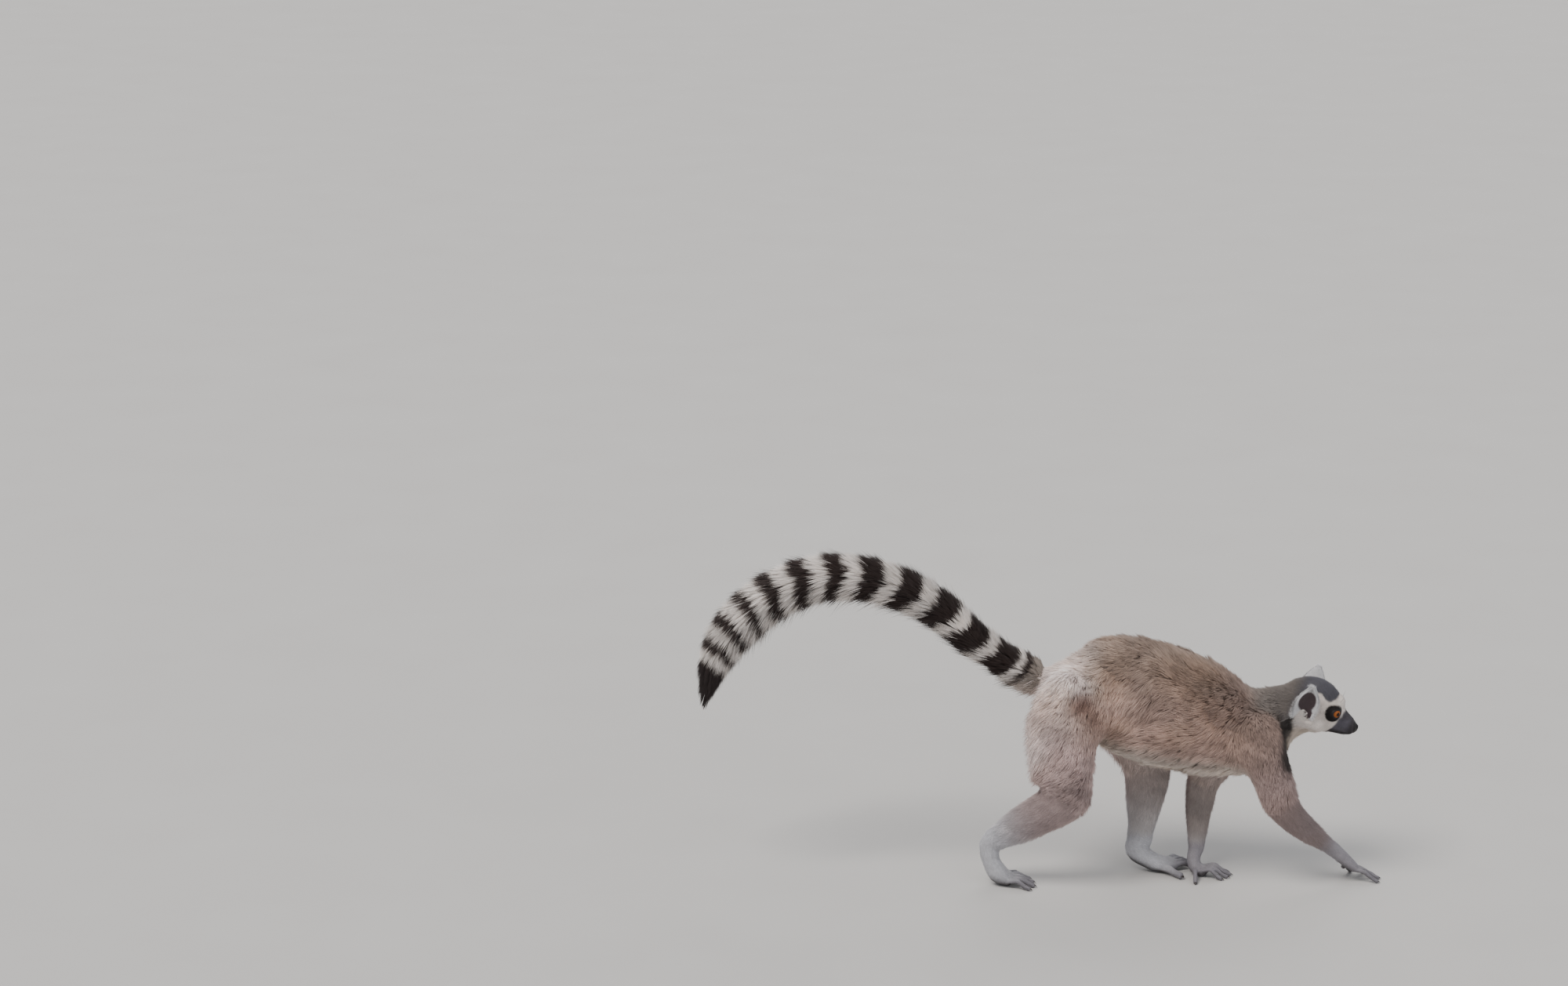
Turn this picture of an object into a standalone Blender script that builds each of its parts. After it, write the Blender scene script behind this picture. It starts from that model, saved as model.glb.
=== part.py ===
"""Ring-tailed lemur, life size, walking on all fours with its ringed tail held up in an arch.

Metres, +Z up. +X is the way it walks, +Y is its left side and the floor is z = 0.
Every outline is that of the coat, out to the tips of the hairs. Flesh nodes meet with
a gap of 0.3 mm, and the whole model is still: no node moves.
"""

import math
from dataclasses import dataclass

import bmesh
import bpy
import numpy as np
from mathutils import Euler, Matrix, Vector

# ---------------------------------------------------------------- driving dimensions

GAP = 0.0003
"""Clearance between two neighbouring nodes."""

PAD_SINK = 0.0011
"""How far each toe pad would reach below the floor, before the floor presses it flat."""

BOX_MIDDLE = Vector((-0.1514, -0.0017, 0.0))
"""Middle of the animal's box on the floor, in the walking frame that the tables below use."""

# Stations run along an axis. Each is (x, y, z, half width across, half depth).
TRUNK = (
    (-0.148, 0.0, 0.252, 0.015, 0.015),
    (-0.125, 0.0, 0.246, 0.040, 0.036),
    (-0.102, 0.0, 0.2405, 0.056, 0.055),
    (-0.065, 0.0, 0.239, 0.065, 0.069),
    (-0.018, 0.0, 0.225, 0.069, 0.076),
    (0.031, 0.0, 0.210, 0.065, 0.073),
    (0.078, 0.0, 0.192, 0.056, 0.061),
    (0.108, 0.0, 0.187, 0.048, 0.0515),
    (0.120, 0.0, 0.190, 0.042, 0.0440),
)
NECK = (
    (0.092, 0.0, 0.195, 0.042, 0.045),
    (0.123, 0.0, 0.2045, 0.040, 0.038),
    (0.148, -0.001, 0.2140, 0.036, 0.0335),
    (0.168, -0.002, 0.2205, 0.033, 0.0310),
)
TAIL = (
    (-0.120, 0.0, 0.252, 0.018, 0.018),
    (-0.145, 0.0, 0.253, 0.017, 0.017),
    (-0.163, 0.0, 0.255, 0.0175, 0.0175),
    (-0.181, 0.0, 0.264, 0.0185, 0.0185),
    (-0.2135, 0.0, 0.288, 0.021, 0.021),
    (-0.252, 0.0, 0.319, 0.024, 0.024),
    (-0.290, 0.0, 0.349, 0.0262, 0.0262),
    (-0.330, 0.0, 0.3725, 0.0275, 0.0275),
    (-0.375, 0.0, 0.384, 0.029, 0.029),
    (-0.414, 0.0, 0.382, 0.0305, 0.0305),
    (-0.452, 0.0, 0.371, 0.0315, 0.0315),
    (-0.483, 0.0, 0.354, 0.0315, 0.0315),
    (-0.511, 0.0, 0.333, 0.031, 0.031),
    (-0.534, 0.0, 0.309, 0.029, 0.029),
    (-0.5495, 0.0, 0.280, 0.0235, 0.0235),
    (-0.558, 0.0, 0.2495, 0.016, 0.016),
    (-0.563, 0.0, 0.226, 0.007, 0.007),
)
HIND_RIGHT = (
    (-0.097, -0.040, 0.245, 0.034, 0.048),
    (-0.120, -0.046, 0.214, 0.035, 0.0475),
    (-0.1265, -0.050, 0.179, 0.032, 0.0414),
    (-0.1245, -0.052, 0.145, 0.028, 0.037),
    (-0.118, -0.052, 0.118, 0.0235, 0.029),
    (-0.1398, -0.048, 0.1035, 0.022, 0.0275),
    (-0.1729, -0.040, 0.0805, 0.019, 0.0245),
    (-0.1938, -0.033, 0.065, 0.0155, 0.0195),
    (-0.2090, -0.028, 0.053, 0.0125, 0.0155),
)
HIND_LEFT = (
    (-0.085, 0.040, 0.243, 0.034, 0.048),
    (-0.060, 0.045, 0.205, 0.034, 0.044),
    (-0.034, 0.049, 0.168, 0.029, 0.037),
    (-0.018, 0.050, 0.136, 0.0245, 0.0315),
    (-0.0165, 0.046, 0.1, 0.021, 0.0275),
    (-0.0205, 0.038, 0.067, 0.0170, 0.0215),
    (-0.0240, 0.030, 0.0375, 0.0140, 0.0165),
)
FORE_RIGHT = (
    (0.100, -0.036, 0.200, 0.026, 0.036),
    (0.113, -0.041, 0.178, 0.026, 0.0325),
    (0.1247, -0.043, 0.155, 0.0245, 0.0275),
    (0.134, -0.042, 0.128, 0.0225, 0.0245),
    (0.1445, -0.040, 0.1034, 0.0195, 0.0215),
    (0.1655, -0.034, 0.0800, 0.0160, 0.0185),
    (0.1900, -0.025, 0.0585, 0.0120, 0.0138),
    (0.2115, -0.0155, 0.0405, 0.0095, 0.0100),
)
FORE_LEFT = (
    (0.096, 0.036, 0.197, 0.026, 0.036),
    (0.083, 0.040, 0.168, 0.026, 0.033),
    (0.0655, 0.042, 0.138, 0.0235, 0.0275),
    (0.0535, 0.041, 0.108, 0.0195, 0.0210),
    (0.0488, 0.036, 0.0815, 0.0160, 0.0185),
    (0.0468, 0.0270, 0.0515, 0.0120, 0.0145),
    (0.0450, 0.0195, 0.0300, 0.0098, 0.0107),
)

NECK_CUT = ((0.1490, 0.0, 0.2125), (0.92, 0.0, 0.39))
"""Where the head meets the neck: a point and the way towards the head."""

# The head has a frame of its own: +X out of the nose, +Z out of the crown.
HEAD_AT = Vector((0.173, 0.0, 0.221))
HEAD_TURN = Euler((math.radians(1), math.radians(18), math.radians(-12)), "XYZ")
# (x, height of the top, height of the underside, half width)
SKULL = (
    (-0.030, 0.0200, -0.0200, 0.0220),
    (-0.022, 0.0285, -0.0250, 0.0275),
    (-0.010, 0.0358, -0.0280, 0.0315),
    (0.004, 0.0395, -0.0285, 0.0330),
    (0.016, 0.0385, -0.0268, 0.0320),
    (0.027, 0.0335, -0.0228, 0.0275),
    (0.036, 0.0250, -0.0195, 0.0215),
    (0.045, 0.0140, -0.0180, 0.0162),
    (0.053, 0.0088, -0.0165, 0.0128),
    (0.060, 0.0048, -0.0138, 0.0100),
    (0.0645, 0.0012, -0.0105, 0.0072),
)
EYE_AT = Vector((0.0320, 0.0160, 0.0105))
EYE_RADIUS = 0.0085
EYE_TOE_OUT = math.radians(42)
EYE_LIFT = math.radians(8)
EYE_OPENING = 0.0056
ORBIT_RADIUS = 0.0121
CHEEK_AT = Vector((0.012, 0.0220, -0.0100))
CHEEK_HALF = Vector((0.0190, 0.0130, 0.0125))
BROW_AT = Vector((0.0312, 0.0, 0.0188))
BROW_HALF = Vector((0.0118, 0.0140, 0.0112))
NOSE_AT = Vector((0.0640, 0.0, -0.0024))
NOSE_HALF = Vector((0.0036, 0.0048, 0.0040))
MOUTH_Z = -0.0115
MOUTH_CORNER_X = 0.036
MUZZLE_ROOT_X = 0.0435

EAR_ROOT = Vector((-0.0025, 0.0362, 0.0120))
EAR_DROP = 0.014
EAR_HEIGHT = 0.0455
EAR_HALF_WIDTH = 0.0158
EAR_THICKNESS = 0.0034
EAR_CUP = 0.0080
EAR_AIM = math.radians(70)
EAR_LEAN = math.radians(8)

# ---------------------------------------------------------------- small tools


@dataclass(frozen=True)
class Finish:
    """Look of one kind of surface, for a Principled material."""

    name: str
    colour: tuple[float, float, float]
    roughness: float


FUR_GREY = Finish("fur_grey", (0.23, 0.19, 0.17), 0.9)
FUR_WHITE = Finish("fur_white", (0.62, 0.60, 0.58), 0.9)
FUR_BLACK = Finish("fur_black", (0.03, 0.025, 0.024), 0.85)
FUR_BANDED = Finish("fur_banded", (0.24, 0.22, 0.21), 0.9)
SKIN_BLACK = Finish("skin_black", (0.02, 0.017, 0.017), 0.55)
EYE_AMBER = Finish("eye_amber", (0.48, 0.16, 0.02), 0.1)


def material_of(finish: Finish) -> bpy.types.Material:
    """The Principled material of a finish, made once."""
    found = bpy.data.materials.get(finish.name)
    if found:
        return found
    material = bpy.data.materials.new(finish.name)
    material.use_nodes = True
    shader = material.node_tree.nodes["Principled BSDF"]
    shader.inputs["Base Color"].default_value = (*finish.colour, 1)
    shader.inputs["Roughness"].default_value = finish.roughness
    shader.inputs["Metallic"].default_value = 0
    return material


def smooth_stations(stations, steps: int) -> np.ndarray:
    """The stations joined by a Catmull-Rom curve with so many steps between two of them."""
    rows = np.array(stations, float)
    rows = np.vstack((2 * rows[0] - rows[1], rows, 2 * rows[-1] - rows[-2]))
    out = []
    for a, b, c, d in zip(rows, rows[1:], rows[2:], rows[3:]):
        for t in np.arange(steps) / steps:
            out.append(
                0.5 * (2 * b + (c - a) * t + (2 * a - 5 * b + 4 * c - d) * t**2
                       + (3 * b - a - 3 * c + d) * t**3)
            )
    out.append(rows[-2])
    return np.array(out)


def add_rings(bm: bmesh.types.BMesh, rings: list[list[Vector]], first: Vector, last: Vector) -> None:
    """A closed tube through the rings, ending in the two tips."""
    loops = [[bm.verts.new(point) for point in ring] for ring in rings]
    tips = bm.verts.new(first), bm.verts.new(last)
    count = len(loops[0])
    for near, far in zip(loops, loops[1:]):
        for i in range(count):
            j = (i + 1) % count
            bm.faces.new((near[i], far[i], far[j], near[j]))
    for i in range(count):
        j = (i + 1) % count
        bm.faces.new((tips[0], loops[0][i], loops[0][j]))
        bm.faces.new((tips[1], loops[-1][j], loops[-1][i]))


def add_limb(bm, stations, steps=4, sides=24, grow=0.0, dome=0.8) -> None:
    """A tube of elliptical sections along the stations, with a rounded end at both ends."""
    rows = smooth_stations(stations, steps)
    centres = rows[:, :3]
    tangents = np.gradient(centres, axis=0)
    tangents /= np.linalg.norm(tangents, axis=1)[:, None]
    frames = []
    for centre, along, (wide, deep) in zip(centres, tangents, rows[:, 3:] + grow):
        depth = np.cross(along, (0.0, 1.0, 0.0))
        depth /= np.linalg.norm(depth)
        across = np.cross(depth, along)
        frames.append((centre, along, across, depth, wide, deep))
    rings = []
    caps = [math.radians(a) for a in (70, 50, 25)]
    start = [(frames[0], -math.sin(a), math.cos(a)) for a in caps]
    end = [(frames[-1], math.sin(a), math.cos(a)) for a in reversed(caps)]
    for (centre, along, across, depth, wide, deep), shift, scale in (
        start + [(frame, 0.0, 1.0) for frame in frames] + end
    ):
        middle = centre + along * shift * dome * min(wide, deep)
        rings.append([
            Vector(middle + scale * (across * wide * math.cos(a) + depth * deep * math.sin(a)))
            for a in np.arange(sides) * math.tau / sides
        ])
    tips = []
    for (centre, along, _, _, wide, deep), way in ((frames[0], -1), (frames[-1], 1)):
        tips.append(Vector(centre + along * way * dome * min(wide, deep)))
    add_rings(bm, rings, *tips)


def add_ellipsoid(bm, centre: Vector, half: Vector, turn: Matrix = Matrix(), segments=24) -> None:
    """An ellipsoid with the given half sizes, turned about its centre."""
    place = Matrix.Translation(centre) @ turn @ Matrix.Diagonal((*half, 1.0))
    bmesh.ops.create_uvsphere(
        bm, u_segments=segments, v_segments=segments // 2, radius=1.0, matrix=place
    )


def mesh_from(bm: bmesh.types.BMesh, name: str) -> bpy.types.Mesh:
    """A mesh with outward faces, taken from the bmesh, which is freed."""
    bmesh.ops.recalc_face_normals(bm, faces=bm.faces)
    mesh = bpy.data.meshes.new(name)
    bm.to_mesh(mesh)
    bm.free()
    return mesh


def evaluated(mesh: bpy.types.Mesh, *modifiers: tuple[str, dict]) -> bpy.types.Mesh:
    """The mesh that the modifiers, given as (type, settings), make of this one."""
    holder = bpy.data.objects.new("working", mesh)
    bpy.context.scene.collection.objects.link(holder)
    for kind, settings in modifiers:
        modifier = holder.modifiers.new(kind.lower(), kind)
        for key, value in settings.items():
            setattr(modifier, key, value)
    graph = bpy.context.evaluated_depsgraph_get()
    result = bpy.data.meshes.new_from_object(holder.evaluated_get(graph))
    bpy.data.objects.remove(holder)
    return result


def fused(bm, voxel: float, smoothing: int, triangles: int) -> bpy.types.Mesh:
    """The overlapping shapes grown into one smooth skin of about so many triangles."""
    rough = evaluated(
        mesh_from(bm, "shapes"),
        ("REMESH", {"mode": "VOXEL", "voxel_size": voxel, "use_smooth_shade": True}),
        ("SMOOTH", {"factor": 0.5, "iterations": smoothing}),
    )
    count = sum(len(face.vertices) - 2 for face in rough.polygons)
    return evaluated(
        rough, ("DECIMATE", {"ratio": triangles / count, "use_collapse_triangulate": True})
    )


def largest_body(mesh: bpy.types.Mesh) -> bpy.types.Mesh:
    """The mesh without the crumbs that a cut leaves beside its largest loose part."""
    bm = bmesh.new()
    bm.from_mesh(mesh)
    bm.verts.ensure_lookup_table()
    seen: set[int] = set()
    bodies = []
    for seed in bm.verts:
        if seed.index in seen:
            continue
        body, front = [], [seed]
        seen.add(seed.index)
        while front:
            vertex = front.pop()
            body.append(vertex)
            for edge in vertex.link_edges:
                other = edge.other_vert(vertex)
                if other.index not in seen:
                    seen.add(other.index)
                    front.append(other)
        bodies.append(body)
    bodies.sort(key=len)
    crumbs = [vertex for body in bodies[:-1] for vertex in body]
    bmesh.ops.delete(bm, geom=crumbs, context="VERTS")
    bmesh.ops.triangulate(bm, faces=bm.faces)
    return mesh_from(bm, mesh.name)


def cut_by(mesh, cutter: bpy.types.Mesh, operation: str) -> bpy.types.Mesh:
    """Exact Boolean of two closed meshes, keeping the largest body."""
    tool = bpy.data.objects.new("cutter", cutter)
    tool.hide_render = True
    tool.display_type = "WIRE"
    bpy.context.scene.collection.objects.link(tool)
    result = evaluated(mesh, ("BOOLEAN", {"operation": operation, "solver": "EXACT", "object": tool}))
    bpy.data.objects.remove(tool)
    return largest_body(result)


def half_of(mesh, point: Vector, normal: Vector) -> bpy.types.Mesh:
    """What lies behind the plane, closed with a flat face."""
    bm = bmesh.new()
    bm.from_mesh(mesh)
    everything = [*bm.verts, *bm.edges, *bm.faces]
    bmesh.ops.bisect_plane(
        bm, geom=everything, dist=1e-7, plane_co=point, plane_no=normal, clear_outer=True
    )
    rim = [edge for edge in bm.edges if edge.is_boundary]
    bmesh.ops.holes_fill(bm, edges=rim, sides=0)
    bmesh.ops.triangulate(bm, faces=bm.faces)
    return largest_body(mesh_from(bm, mesh.name))


def parted(mesh, point, normal) -> tuple[bpy.types.Mesh, bpy.types.Mesh]:
    """The two pieces on either side of a plane, with the gap between them: behind and ahead."""
    point, normal = Vector(point), Vector(normal).normalized()
    behind = half_of(mesh, point - normal * GAP / 2, normal)
    ahead = half_of(mesh, point + normal * GAP / 2, -normal)
    return behind, ahead


def put(name: str, mesh: bpy.types.Mesh, finish: Finish) -> bpy.types.Object:
    """One named node of the animal, smooth where it is round."""
    mesh = mesh.copy()
    mesh.name = name
    mesh.transform(Matrix.Translation(-BOX_MIDDLE))
    mesh.materials.clear()
    mesh.materials.append(material_of(finish))
    mesh.shade_smooth()
    mesh.set_sharp_from_angle(angle=math.radians(50))
    node = bpy.data.objects.new(name, mesh)
    bpy.context.scene.collection.objects.link(node)
    return node


# ---------------------------------------------------------------- head


def head_matrix() -> Matrix:
    """From the head's own frame to the walking frame."""
    return Matrix.Translation(HEAD_AT) @ HEAD_TURN.to_matrix().to_4x4()


def add_skull(bm) -> None:
    """Cranium and muzzle as one tube of sections, in the walking frame."""
    place = head_matrix()
    rows = smooth_stations(SKULL, 3)
    sides = 28
    rings = []
    for x, top, under, wide in rows:
        middle = (top + under) / 2
        deep = (top - under) / 2
        rings.append([
            place @ Vector((x, wide * math.cos(a), middle + deep * math.sin(a)))
            for a in np.arange(sides) * math.tau / sides
        ])
    back = (rows[0][1] + rows[0][2]) / 2
    front = (rows[-1][1] + rows[-1][2]) / 2
    add_rings(
        bm, rings, place @ Vector((rows[0][0] - 0.009, 0, back)),
        place @ Vector((rows[-1][0] + 0.004, 0, front)),
    )


def add_face(bm) -> None:
    """Orbits, cheeks and the brow between the eyes."""
    place = head_matrix()
    turn = HEAD_TURN.to_matrix().to_4x4()
    for side in (-1, 1):
        flip = Vector((1, side, 1))
        orbit = EYE_AT * flip - Vector((0.0026, 0.0012 * side, 0))
        add_ellipsoid(bm, place @ orbit, Vector((ORBIT_RADIUS,) * 3), turn)
        add_ellipsoid(bm, place @ (CHEEK_AT * flip), CHEEK_HALF, turn)
    add_ellipsoid(bm, place @ BROW_AT, BROW_HALF, turn)


def gaze_matrix(side: int) -> Matrix:
    """The eye's own frame: its +Z looks out of the pupil."""
    aim = Matrix.Rotation(side * EYE_TOE_OUT, 4, "Z") @ Matrix.Rotation(math.pi / 2 - EYE_LIFT, 4, "Y")
    return head_matrix() @ Matrix.Translation(EYE_AT * Vector((1, side, 1))) @ aim


def eye_mesh(side: int, grow: float = 0.0) -> bpy.types.Mesh:
    """The eyeball on one side, larger by the growth."""
    bm = bmesh.new()
    bmesh.ops.create_uvsphere(
        bm, u_segments=12, v_segments=8, radius=EYE_RADIUS + grow, matrix=gaze_matrix(side)
    )
    return mesh_from(bm, "eye")


def eye_opening(side: int) -> bpy.types.Mesh:
    """The round cut between the lids, along the gaze."""
    bm = bmesh.new()
    length = 0.018
    place = gaze_matrix(side) @ Matrix.Translation((0, 0, 0.003 + length / 2))
    bmesh.ops.create_cone(
        bm, cap_ends=True, segments=16, radius1=EYE_OPENING, radius2=EYE_OPENING * 1.35,
        depth=length, matrix=place,
    )
    return mesh_from(bm, "opening")


def nose_mesh(grow: float = 0.0) -> bpy.types.Mesh:
    """The bare nose pad at the tip of the muzzle."""
    bm = bmesh.new()
    half = NOSE_HALF + Vector((grow, grow, grow))
    add_ellipsoid(bm, head_matrix() @ NOSE_AT, half, HEAD_TURN.to_matrix().to_4x4(), 10)
    return mesh_from(bm, "nose")


def ear_mesh(side: int) -> bpy.types.Mesh:
    """An upright ear: a leaf, cupped so that its edges come forward, closed to a thin solid."""
    rows, columns = 7, 7
    bm = bmesh.new()
    grid = []
    for i in range(rows):
        u = i / (rows - 1)
        width = EAR_HALF_WIDTH * (0.78 + 0.22 * math.sin(math.pi * min(u * 1.25, 1)))
        width = max(width * (1 - u**2.2) ** 0.5, 0.0022)
        line = []
        for j in range(columns):
            v = 2 * j / (columns - 1) - 1
            forward = EAR_CUP * (v * v - 0.35) * (1 - 0.55 * u)
            line.append(bm.verts.new((forward, width * v, EAR_HEIGHT * u - EAR_DROP)))
        grid.append(line)
    for low, high in zip(grid, grid[1:]):
        for j in range(columns - 1):
            bm.faces.new((low[j], low[j + 1], high[j + 1], high[j]))
    solid = evaluated(mesh_from(bm, "ear"), ("SOLIDIFY", {"thickness": EAR_THICKNESS, "offset": 0.0}))
    # The open side looks outward and a little forward, and the ear leans out from the crown.
    aim = Matrix.Rotation(EAR_AIM * side, 4, "Z")
    lean = Matrix.Rotation(-EAR_LEAN * side, 4, "X")
    solid.transform(head_matrix() @ Matrix.Translation(EAR_ROOT * Vector((1, side, 1))) @ lean @ aim)
    return solid


def head_plane(x: float) -> tuple[Vector, Vector]:
    """A plane across the head, square to its own long axis: a point on it and its normal."""
    place = head_matrix()
    return place @ Vector((x, 0, 0)), place.to_3x3() @ Vector((1, 0, 0))


def swollen(mesh, by: float) -> bpy.types.Mesh:
    """The mesh with its surface moved out."""
    return evaluated(mesh, ("DISPLACE", {"strength": by, "mid_level": 0.0}))


def build_head() -> None:
    """Head, muzzle, jaw, nose, both eyes and both ears."""
    bm = bmesh.new()
    add_skull(bm)
    add_face(bm)
    add_limb(bm, NECK)
    whole = fused(bm, voxel=0.0014, smoothing=5, triangles=860)
    _, head = parted(whole, *NECK_CUT)
    mouth = head_matrix() @ Vector((MOUTH_CORNER_X, 0, MOUTH_Z))
    lower, _ = parted(head, mouth, HEAD_TURN.to_matrix() @ Vector((0, 0, 1)))
    _, jaw = parted(lower, *head_plane(MOUTH_CORNER_X))
    put("jaw", jaw, FUR_WHITE)
    head = cut_by(head, wedge_of_jaw(), "DIFFERENCE")
    cranium, muzzle = parted(head, *head_plane(MUZZLE_ROOT_X))
    for side, word in ((-1, "right"), (1, "left")):
        cranium = cut_by(cranium, eye_opening(side), "DIFFERENCE")
        cranium = cut_by(cranium, eye_mesh(side, GAP), "DIFFERENCE")
        muzzle = cut_by(muzzle, eye_mesh(side, GAP), "DIFFERENCE")
        put("eye_" + word, eye_mesh(side), EYE_AMBER)
    put("muzzle", cut_by(muzzle, nose_mesh(GAP), "DIFFERENCE"), FUR_GREY)
    put("nose", nose_mesh(), SKIN_BLACK)
    put("head", cranium, FUR_WHITE)
    for side, word in ((-1, "right"), (1, "left")):
        ear = cut_by(ear_mesh(side), swollen(whole, GAP), "DIFFERENCE")
        put("ear_" + word, ear, FUR_WHITE)


def wedge_of_jaw() -> bpy.types.Mesh:
    """The block that takes the jaw's place out of the head."""
    bm = bmesh.new()
    size = 0.09
    corner = Vector((MOUTH_CORNER_X - GAP / 2, 0, MOUTH_Z + GAP / 2))
    middle = corner + Vector((size / 2, 0, -size / 2))
    bmesh.ops.create_cube(bm, size=size, matrix=head_matrix() @ Matrix.Translation(middle))
    return mesh_from(bm, "wedge")


# ---------------------------------------------------------------- hands and feet


@dataclass(frozen=True)
class Paw:
    """One hand or foot: stations of its sole, and the fan of digits that spreads from it."""

    name: str
    side: int
    sole: tuple
    knuckle: tuple[float, float, float]
    heading: float
    spread: float
    row_width: float
    digits: tuple[float, float, float, float]
    digit_radius: float
    arch: float
    thumb_root: float
    thumb_angle: float
    thumb_length: float
    thumb_radius: float


HAND_DIGITS = (0.0220, 0.0285, 0.0310, 0.0270)
FOOT_DIGITS = (0.0240, 0.0280, 0.0300, 0.0260)

PAWS = (
    Paw(
        "foot_right", -1,
        (
            (-0.1938, -0.0330, 0.0650, 0.0150, 0.0175),
            (-0.2095, -0.0280, 0.0535, 0.0125, 0.0150),
            (-0.2130, -0.0285, 0.0430, 0.0115, 0.0128),
            (-0.2110, -0.0315, 0.0295, 0.0115, 0.0112),
            (-0.2020, -0.0350, 0.0145, 0.0135, 0.0125),
            (-0.1900, -0.0360, 0.0078, 0.0145, 0.0090),
        ),
        (-0.1880, -0.0370, 0.0080), -5, 11, 0.023, FOOT_DIGITS, 0.0036, 0.0045, 0.013, 56, 0.032, 0.0045,
    ),
    Paw(
        "foot_left", 1,
        (
            (-0.0205, 0.0380, 0.0670, 0.0160, 0.0200),
            (-0.0245, 0.0300, 0.0375, 0.0135, 0.0160),
            (-0.0290, 0.0225, 0.0255, 0.0120, 0.0140),
            (-0.0140, 0.0185, 0.0145, 0.0130, 0.0118),
            (0.0020, 0.0185, 0.0085, 0.0165, 0.0100),
            (0.0140, 0.0255, 0.0068, 0.0155, 0.0082),
        ),
        (0.0160, 0.0280, 0.0072), 26, 6, 0.024, FOOT_DIGITS, 0.0036, 0.0040, 0.022, -69, 0.032, 0.0052,
    ),
    Paw(
        "hand_right", -1,
        (
            (0.1900, -0.0250, 0.0585, 0.0115, 0.0135),
            (0.2085, -0.0168, 0.0430, 0.0096, 0.0100),
            (0.2200, -0.0128, 0.0320, 0.0098, 0.0085),
            (0.2295, -0.0105, 0.0225, 0.0112, 0.0075),
            (0.2365, -0.0095, 0.0165, 0.0115, 0.0062),
        ),
        (0.2360, -0.0090, 0.0155), 12, 14, 0.018, HAND_DIGITS, 0.0032, 0.0030, 0.009, 50, 0.023, 0.0033,
    ),
    Paw(
        "hand_left", 1,
        (
            (0.0468, 0.0270, 0.0515, 0.0115, 0.0140),
            (0.0450, 0.0195, 0.0300, 0.0096, 0.0104),
            (0.0415, 0.0130, 0.0190, 0.0086, 0.0088),
            (0.0440, 0.0060, 0.0082, 0.0105, 0.0086),
            (0.0530, 0.0010, 0.0062, 0.0115, 0.0076),
        ),
        (0.0545, 0.0005, 0.0085), -10, 8, 0.018, HAND_DIGITS, 0.0032, 0.0062, 0.011, -84, 0.026, 0.0034,
    ),
)


def add_digit(bm, root: Vector, angle: float, length: float, radius: float, arch: float) -> None:
    """A bent finger or toe whose pad lies on the floor."""
    way = Vector((math.cos(angle), math.sin(angle), 0))
    pad_z = radius - PAD_SINK
    bends = ((-0.15, 0.0, 1.0), (0.12, 0.5, 1.0), (0.42, 1.0, 0.95), (0.74, 0.22, 0.92), (1.0, 0.0, 1.0))
    points = []
    for share, rise, size in bends:
        z = root.z + (pad_z - root.z) * max(share, 0) + arch * rise
        points.append((*(root + way * length * share).xy, z, radius * size, radius * size))
    add_limb(bm, points, steps=3, sides=12)


def paw_mesh(paw: Paw) -> bpy.types.Mesh:
    """Palm or sole with four digits and the thumb, pressed flat on the floor."""
    bm = bmesh.new()
    add_limb(bm, paw.sole, sides=20)
    ahead = math.radians(paw.heading)
    across = Vector((-math.sin(ahead), math.cos(ahead), 0)) * paw.side
    knuckle = Vector(paw.knuckle)
    for i, length in enumerate(paw.digits):
        share = i / 3 - 0.5
        angle = ahead + math.radians(paw.spread) * (i - 1.5) * paw.side
        root = knuckle + across * paw.row_width * share
        add_digit(bm, root, angle, length, paw.digit_radius, paw.arch)
    forward = Vector((math.cos(ahead), math.sin(ahead), 0))
    root = knuckle - forward * paw.thumb_root - across * paw.row_width * 0.42
    angle = ahead + math.radians(paw.thumb_angle)
    add_digit(bm, root, angle, paw.thumb_length, paw.thumb_radius, paw.arch * 0.5)
    mesh = fused(bm, voxel=0.0010, smoothing=4, triangles=370)
    return half_of(mesh, Vector((0, 0, 0)), Vector((0, 0, -1)))


# ---------------------------------------------------------------- trunk, legs and tail


@dataclass(frozen=True)
class Limb:
    """A leg: its stations, the names of its two long pieces, and the planes across its joints."""

    stations: tuple
    upper: str
    lower: str
    paw: int
    bend: tuple
    bend_normal: tuple
    wrist: tuple
    wrist_normal: tuple


LIMBS = (
    Limb(HIND_RIGHT, "thigh_right", "shank_right", 0,
         (-0.120, -0.05, 0.116), (-0.62, 0, -0.78), (-0.2035, -0.031, 0.059), (-0.62, 0.2, -0.75)),
    Limb(HIND_LEFT, "thigh_left", "shank_left", 1,
         (-0.018, 0.05, 0.128), (0.08, 0, -1), (-0.0232, 0.032, 0.0455), (-0.1, -0.2, -0.97)),
    Limb(FORE_RIGHT, "upper_arm_right", "forearm_right", 2,
         (0.1415, -0.04, 0.110), (0.5, 0, -0.86), (0.2055, -0.018, 0.0455), (0.74, 0.3, -0.6)),
    Limb(FORE_LEFT, "upper_arm_left", "forearm_left", 3,
         (0.055, 0.04, 0.113), (-0.3, 0, -0.95), (0.0455, 0.0222, 0.038), (0, -0.3, -0.95)),
)
LIMB_MARGIN = 0.0042
"""How far the cut around a leg stands off the leg, so that it leaves the leg whole."""


TRUNK_CUTS = (
    ("rump", (-0.052, 0, 0.24), (1, 0, -0.12)),
    ("belly", (0.055, 0, 0.20), (1, 0, -0.1)),
    ("chest", (0.118, 0, 0.190), (0.85, 0, 0.52)),
)
TAIL_ROOT = ((-0.150, 0, 0.253), (-0.97, 0, 0.25))
TAIL_PIECES = 7


def cutter_of(stations, grow: float) -> bpy.types.Mesh:
    """The solid round a leg that parts it from the trunk."""
    bm = bmesh.new()
    add_limb(bm, stations, steps=1, sides=10, grow=grow, dome=0.7)
    return mesh_from(bm, "cutter")


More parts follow.
